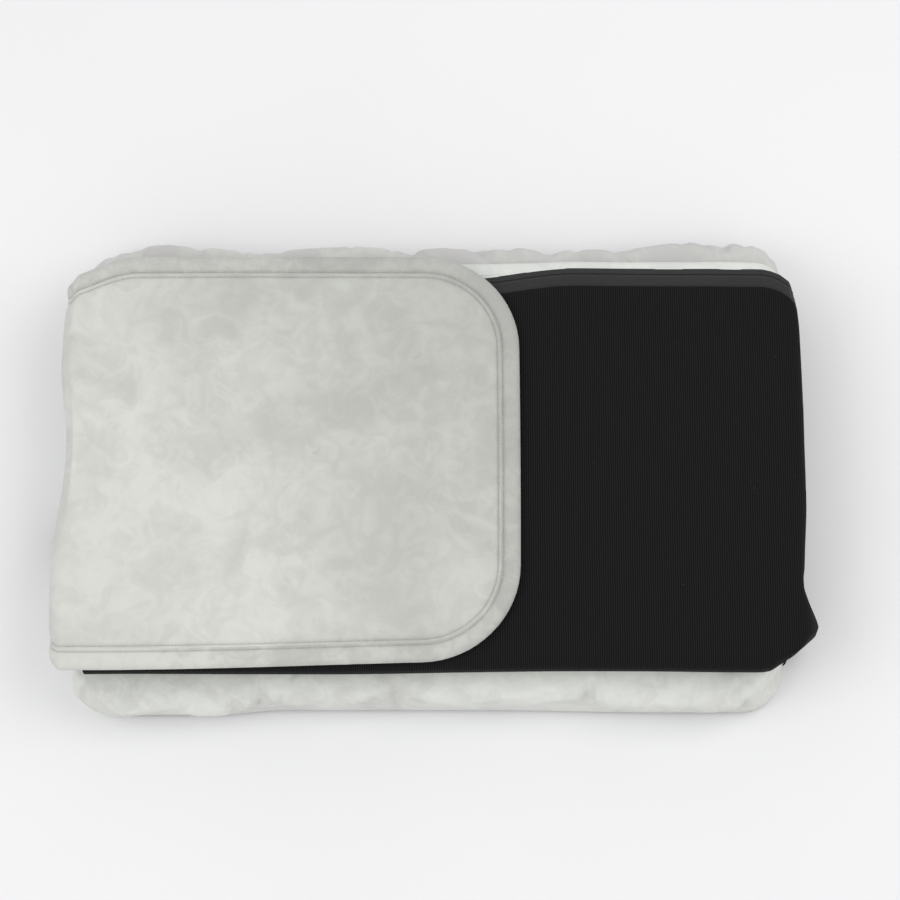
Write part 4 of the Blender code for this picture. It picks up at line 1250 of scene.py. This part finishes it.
def upperShape(x, y, height):
    # the back edge bulges out, follows the zip forward near the flap and runs out at the right corner
    back = smooth(0.150, 0.205, y)
    front = smooth(-0.150, -0.200, y)
    belly = math.sin(math.pi * clamp(height / upperSet["height"])) ** 0.7
    pull = (forwardNearFlap(x) + 0.0012 * wave(x, 0, 0, 0.09, 6.0)) * smooth(0.010, 0.025, height)
    pull += 0.006 * smooth(0.300, 0.352, x) * smooth(0.016, 0.025, height)
    move = Vector((0, 0, 0))
    move.y += back * (upperSet["swell"] * (0.35 + 0.65 * belly) - pull - 0.001 * (1 - belly))
    move.y += front * (upperSet["frontIn"] + upperSet["frontTuck"] * smooth(0.0125, 0.0095, height))
    move.y += (back - front) * 0.0008 * belly * wave(x, 0, height, 0.05, 2.0)
    ends = smooth(0.320, 0.350, abs(x))
    move.x -= math.copysign(0.006, x) * ends * smooth(0.016, 0.027, height)
    if x < 0:
        move.x += 0.45 * waistIn(y) * smooth(0.28, 0.345, -x)
    else:
        move.x -= 0.004 * smooth(0.300, 0.356, x)
    return move


def makeUpperVelour():
    footZ = upperBox[0].z + 0.0004
    points = []
    for height, inset in upperSet["levels"]:
        ring = ringOutline(upperBox, upperSet["radius"], inset, (120, 60), 10)
        count = len(ring)
        points += [Vector((x, y, footZ + height)) + upperShape(x, y, height) for x, y in ring]
    faces = ringFaces(len(upperSet["levels"]), count)
    faces += [tuple(range(count)), tuple(range(len(points) - count, len(points)))]
    return meshPiece("upperVelourEdge", points, faces, velourRim)


upperVelour = makeUpperVelour()
print("upper velour made")


# knit underside of the lower panel, a thin sheet with a rolled hem
undersideSet = {
    "inset": 0.0135,
    # height and further inset, from the top of the hem round its roll and in under the panel
    "levels": ((0.0023, 0.0040), (0.0021, 0.0016), (0.0015, 0.0003), (0.0009, 0.0004), (0.0004, 0.0016),
               (0.0004, 0.0030), (0.0001, 0.0050), (0.0001, 0.060), (0.0001, 0.200)),
    "draw": 0.55,
}


def makeUnderside():
    levels, draw = undersideSet["levels"], undersideSet["draw"]
    points, cloth = [], []
    for height, inset in levels:
        ring = ringOutline(lowerBox, baseSet["radius"], inset + undersideSet["inset"], (70, 46), 10)
        count = len(ring)
        points += [Vector((x, y + draw * frontDraw(x) * smooth(-0.150, -0.215, y), height)) for x, y in ring]
        cloth += ring
    faces = ringFaces(len(levels), count) + [tuple(range(len(points) - count, len(points)))]
    return meshPiece("undersideKnit", points, faces, knit, cloth)


underside = makeUnderside()
print("underside made")


# riding and replacing
def rideAll(body, *pieces):
    for piece in pieces:
        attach(piece, body)


rideAll("head_flap", flapTop, flapBand, flapLining, flapStitches)
rideAll("upper_panel", knitTop, upperVelour, *zipUpper)
rideAll("lower_panel", base, underside, *zipLower)
for piece in (foldTop, foldTopBand, foldTopLining, foldTopStitches):
    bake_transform(piece)
for piece in (foldBottom, foldBottomBand, foldBottomLining, foldBottomStitches):
    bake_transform(piece)
for piece in (foldKnitUpper, foldGussetUpper, *zipFoldUpper):
    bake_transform(piece)
for piece in (foldKnitLower, foldGussetLower, *zipFoldLower):
    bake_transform(piece)
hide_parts("flap_velour_cover", "flap_wadding")
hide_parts("flap_binding")
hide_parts("flap_knit_lining")
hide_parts("left_fold_velour", "flap_fold_edge", "left_fold_wadding")
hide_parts("upper_knit_cover")
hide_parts("right_fold_knit", "right_fold_wadding", "upper_fold_edge")
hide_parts("lower_fold_edge")
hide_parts("lower_velour_cover", "lower_wadding")
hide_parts("upper_velour_cover", "upper_wadding", "upper_insulation_felt")
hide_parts("lower_knit_sheet")
for pieces, panel in ((zipUpper, "upper"), (zipLower, "lower")):
    for piece, part in zip(pieces, ("tape_velour_side", "tape_knit_side", "coil")):
        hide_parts(panel + "_zip_" + part)
for piece, part in zip(zipFoldUpper, ("tape_velour_side", "tape_knit_side", "coil")):
    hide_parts("right_fold_zip_" + part)


# finishes of the carried-over solids
finishes = {
    "velour": velourStrip, "binding": velourBinding, "black_knit": knit, "wadding": felt, "foil": foil,
    "carbon_film": carbonFilm, "copper": copper, "black_plastic": blackPlastic, "zip_tape": zipTape,
    "zip_coil": zipTeeth, "black_nickel": blackNickel, "lead_cover": leadCover,
}
slotOf = {part["node"]: part["material_slot"] for part in frame["record"]["subparts"]}
for name, node in frame["nodes"].items():
    for slot in node.material_slots:
        slot.material = finishes[slotOf[name]]


# floor, light and camera
studioSet = {
    "floorHalf": 14.0,
    "floorZ": -0.0005,
    "floorDark": (0.76, 0.76, 0.77),
    "floorLight": (0.80, 0.80, 0.81),
    "worldStrength": 0.84,
    # place, size and watts
    "keyLight": ((-1.3, -0.4, 1.9), 1.4, 11),
    "fillLight": ((1.5, 0.3, 2.2), 2.0, 20),
    "lightAim": (0, 0, 0.05),
}
cameraSet = {"elevation": 75, "distance": 3.0, "lens": 120, "sensor": 36, "aim": (0.015, 0.0, 0.056), "rise": 0.026}


def makeFloor():
    paper, tree, shader = startMaterial("palePaper", studioSet["floorLight"], 0.9)
    coords = addNode(tree, "ShaderNodeTexCoord")
    tone = noiseNode(tree, coords.outputs["Object"], 2.5, 3.0)
    colour = mixColours(tree, tone, studioSet["floorDark"], studioSet["floorLight"])
    tree.links.new(colour, shader.inputs["Base Color"])
    half, z = studioSet["floorHalf"], studioSet["floorZ"]
    points = [(-half, -half, z), (half, -half, z), (half, half, z), (-half, half, z)]
    meshPiece("floor", points, [(0, 1, 2, 3)], paper)


def makeLights():
    world = bpy.data.worlds.new("studio")
    world.use_nodes = True
    background = world.node_tree.nodes["Background"]
    background.inputs["Color"].default_value = (1.0, 1.0, 1.0, 1.0)
    background.inputs["Strength"].default_value = studioSet["worldStrength"]
    scene.world = world
    scene.view_settings.view_transform = "Standard"
    for name in ("keyLight", "fillLight"):
        place, size, power = studioSet[name]
        light = bpy.data.lights.new(name, "AREA")
        light.energy = power
        light.size = size
        lamp = bpy.data.objects.new(name, light)
        lamp.location = place
        aim = Vector(studioSet["lightAim"]) - Vector(place)
        lamp.rotation_euler = aim.to_track_quat("-Z", "Y").to_euler()
        scene.collection.objects.link(lamp)


def makeCamera():
    elevation = math.radians(cameraSet["elevation"])
    up = Vector((0, math.sin(elevation), math.cos(elevation)))
    aim = Vector(cameraSet["aim"]) + up * cameraSet["rise"]
    lens = bpy.data.cameras.new("camera")
    lens.lens = cameraSet["lens"]
    lens.sensor_width = cameraSet["sensor"]
    camera = bpy.data.objects.new("camera", lens)
    camera.location = aim + Vector((0, -math.cos(elevation), math.sin(elevation))) * cameraSet["distance"]
    camera.rotation_euler = (aim - camera.location).to_track_quat("-Z", "Y").to_euler()
    scene.collection.objects.link(camera)
    scene.camera = camera


makeFloor()
makeLights()
makeCamera()
print("floor, lights and camera made")
bpy.context.view_layer.update()
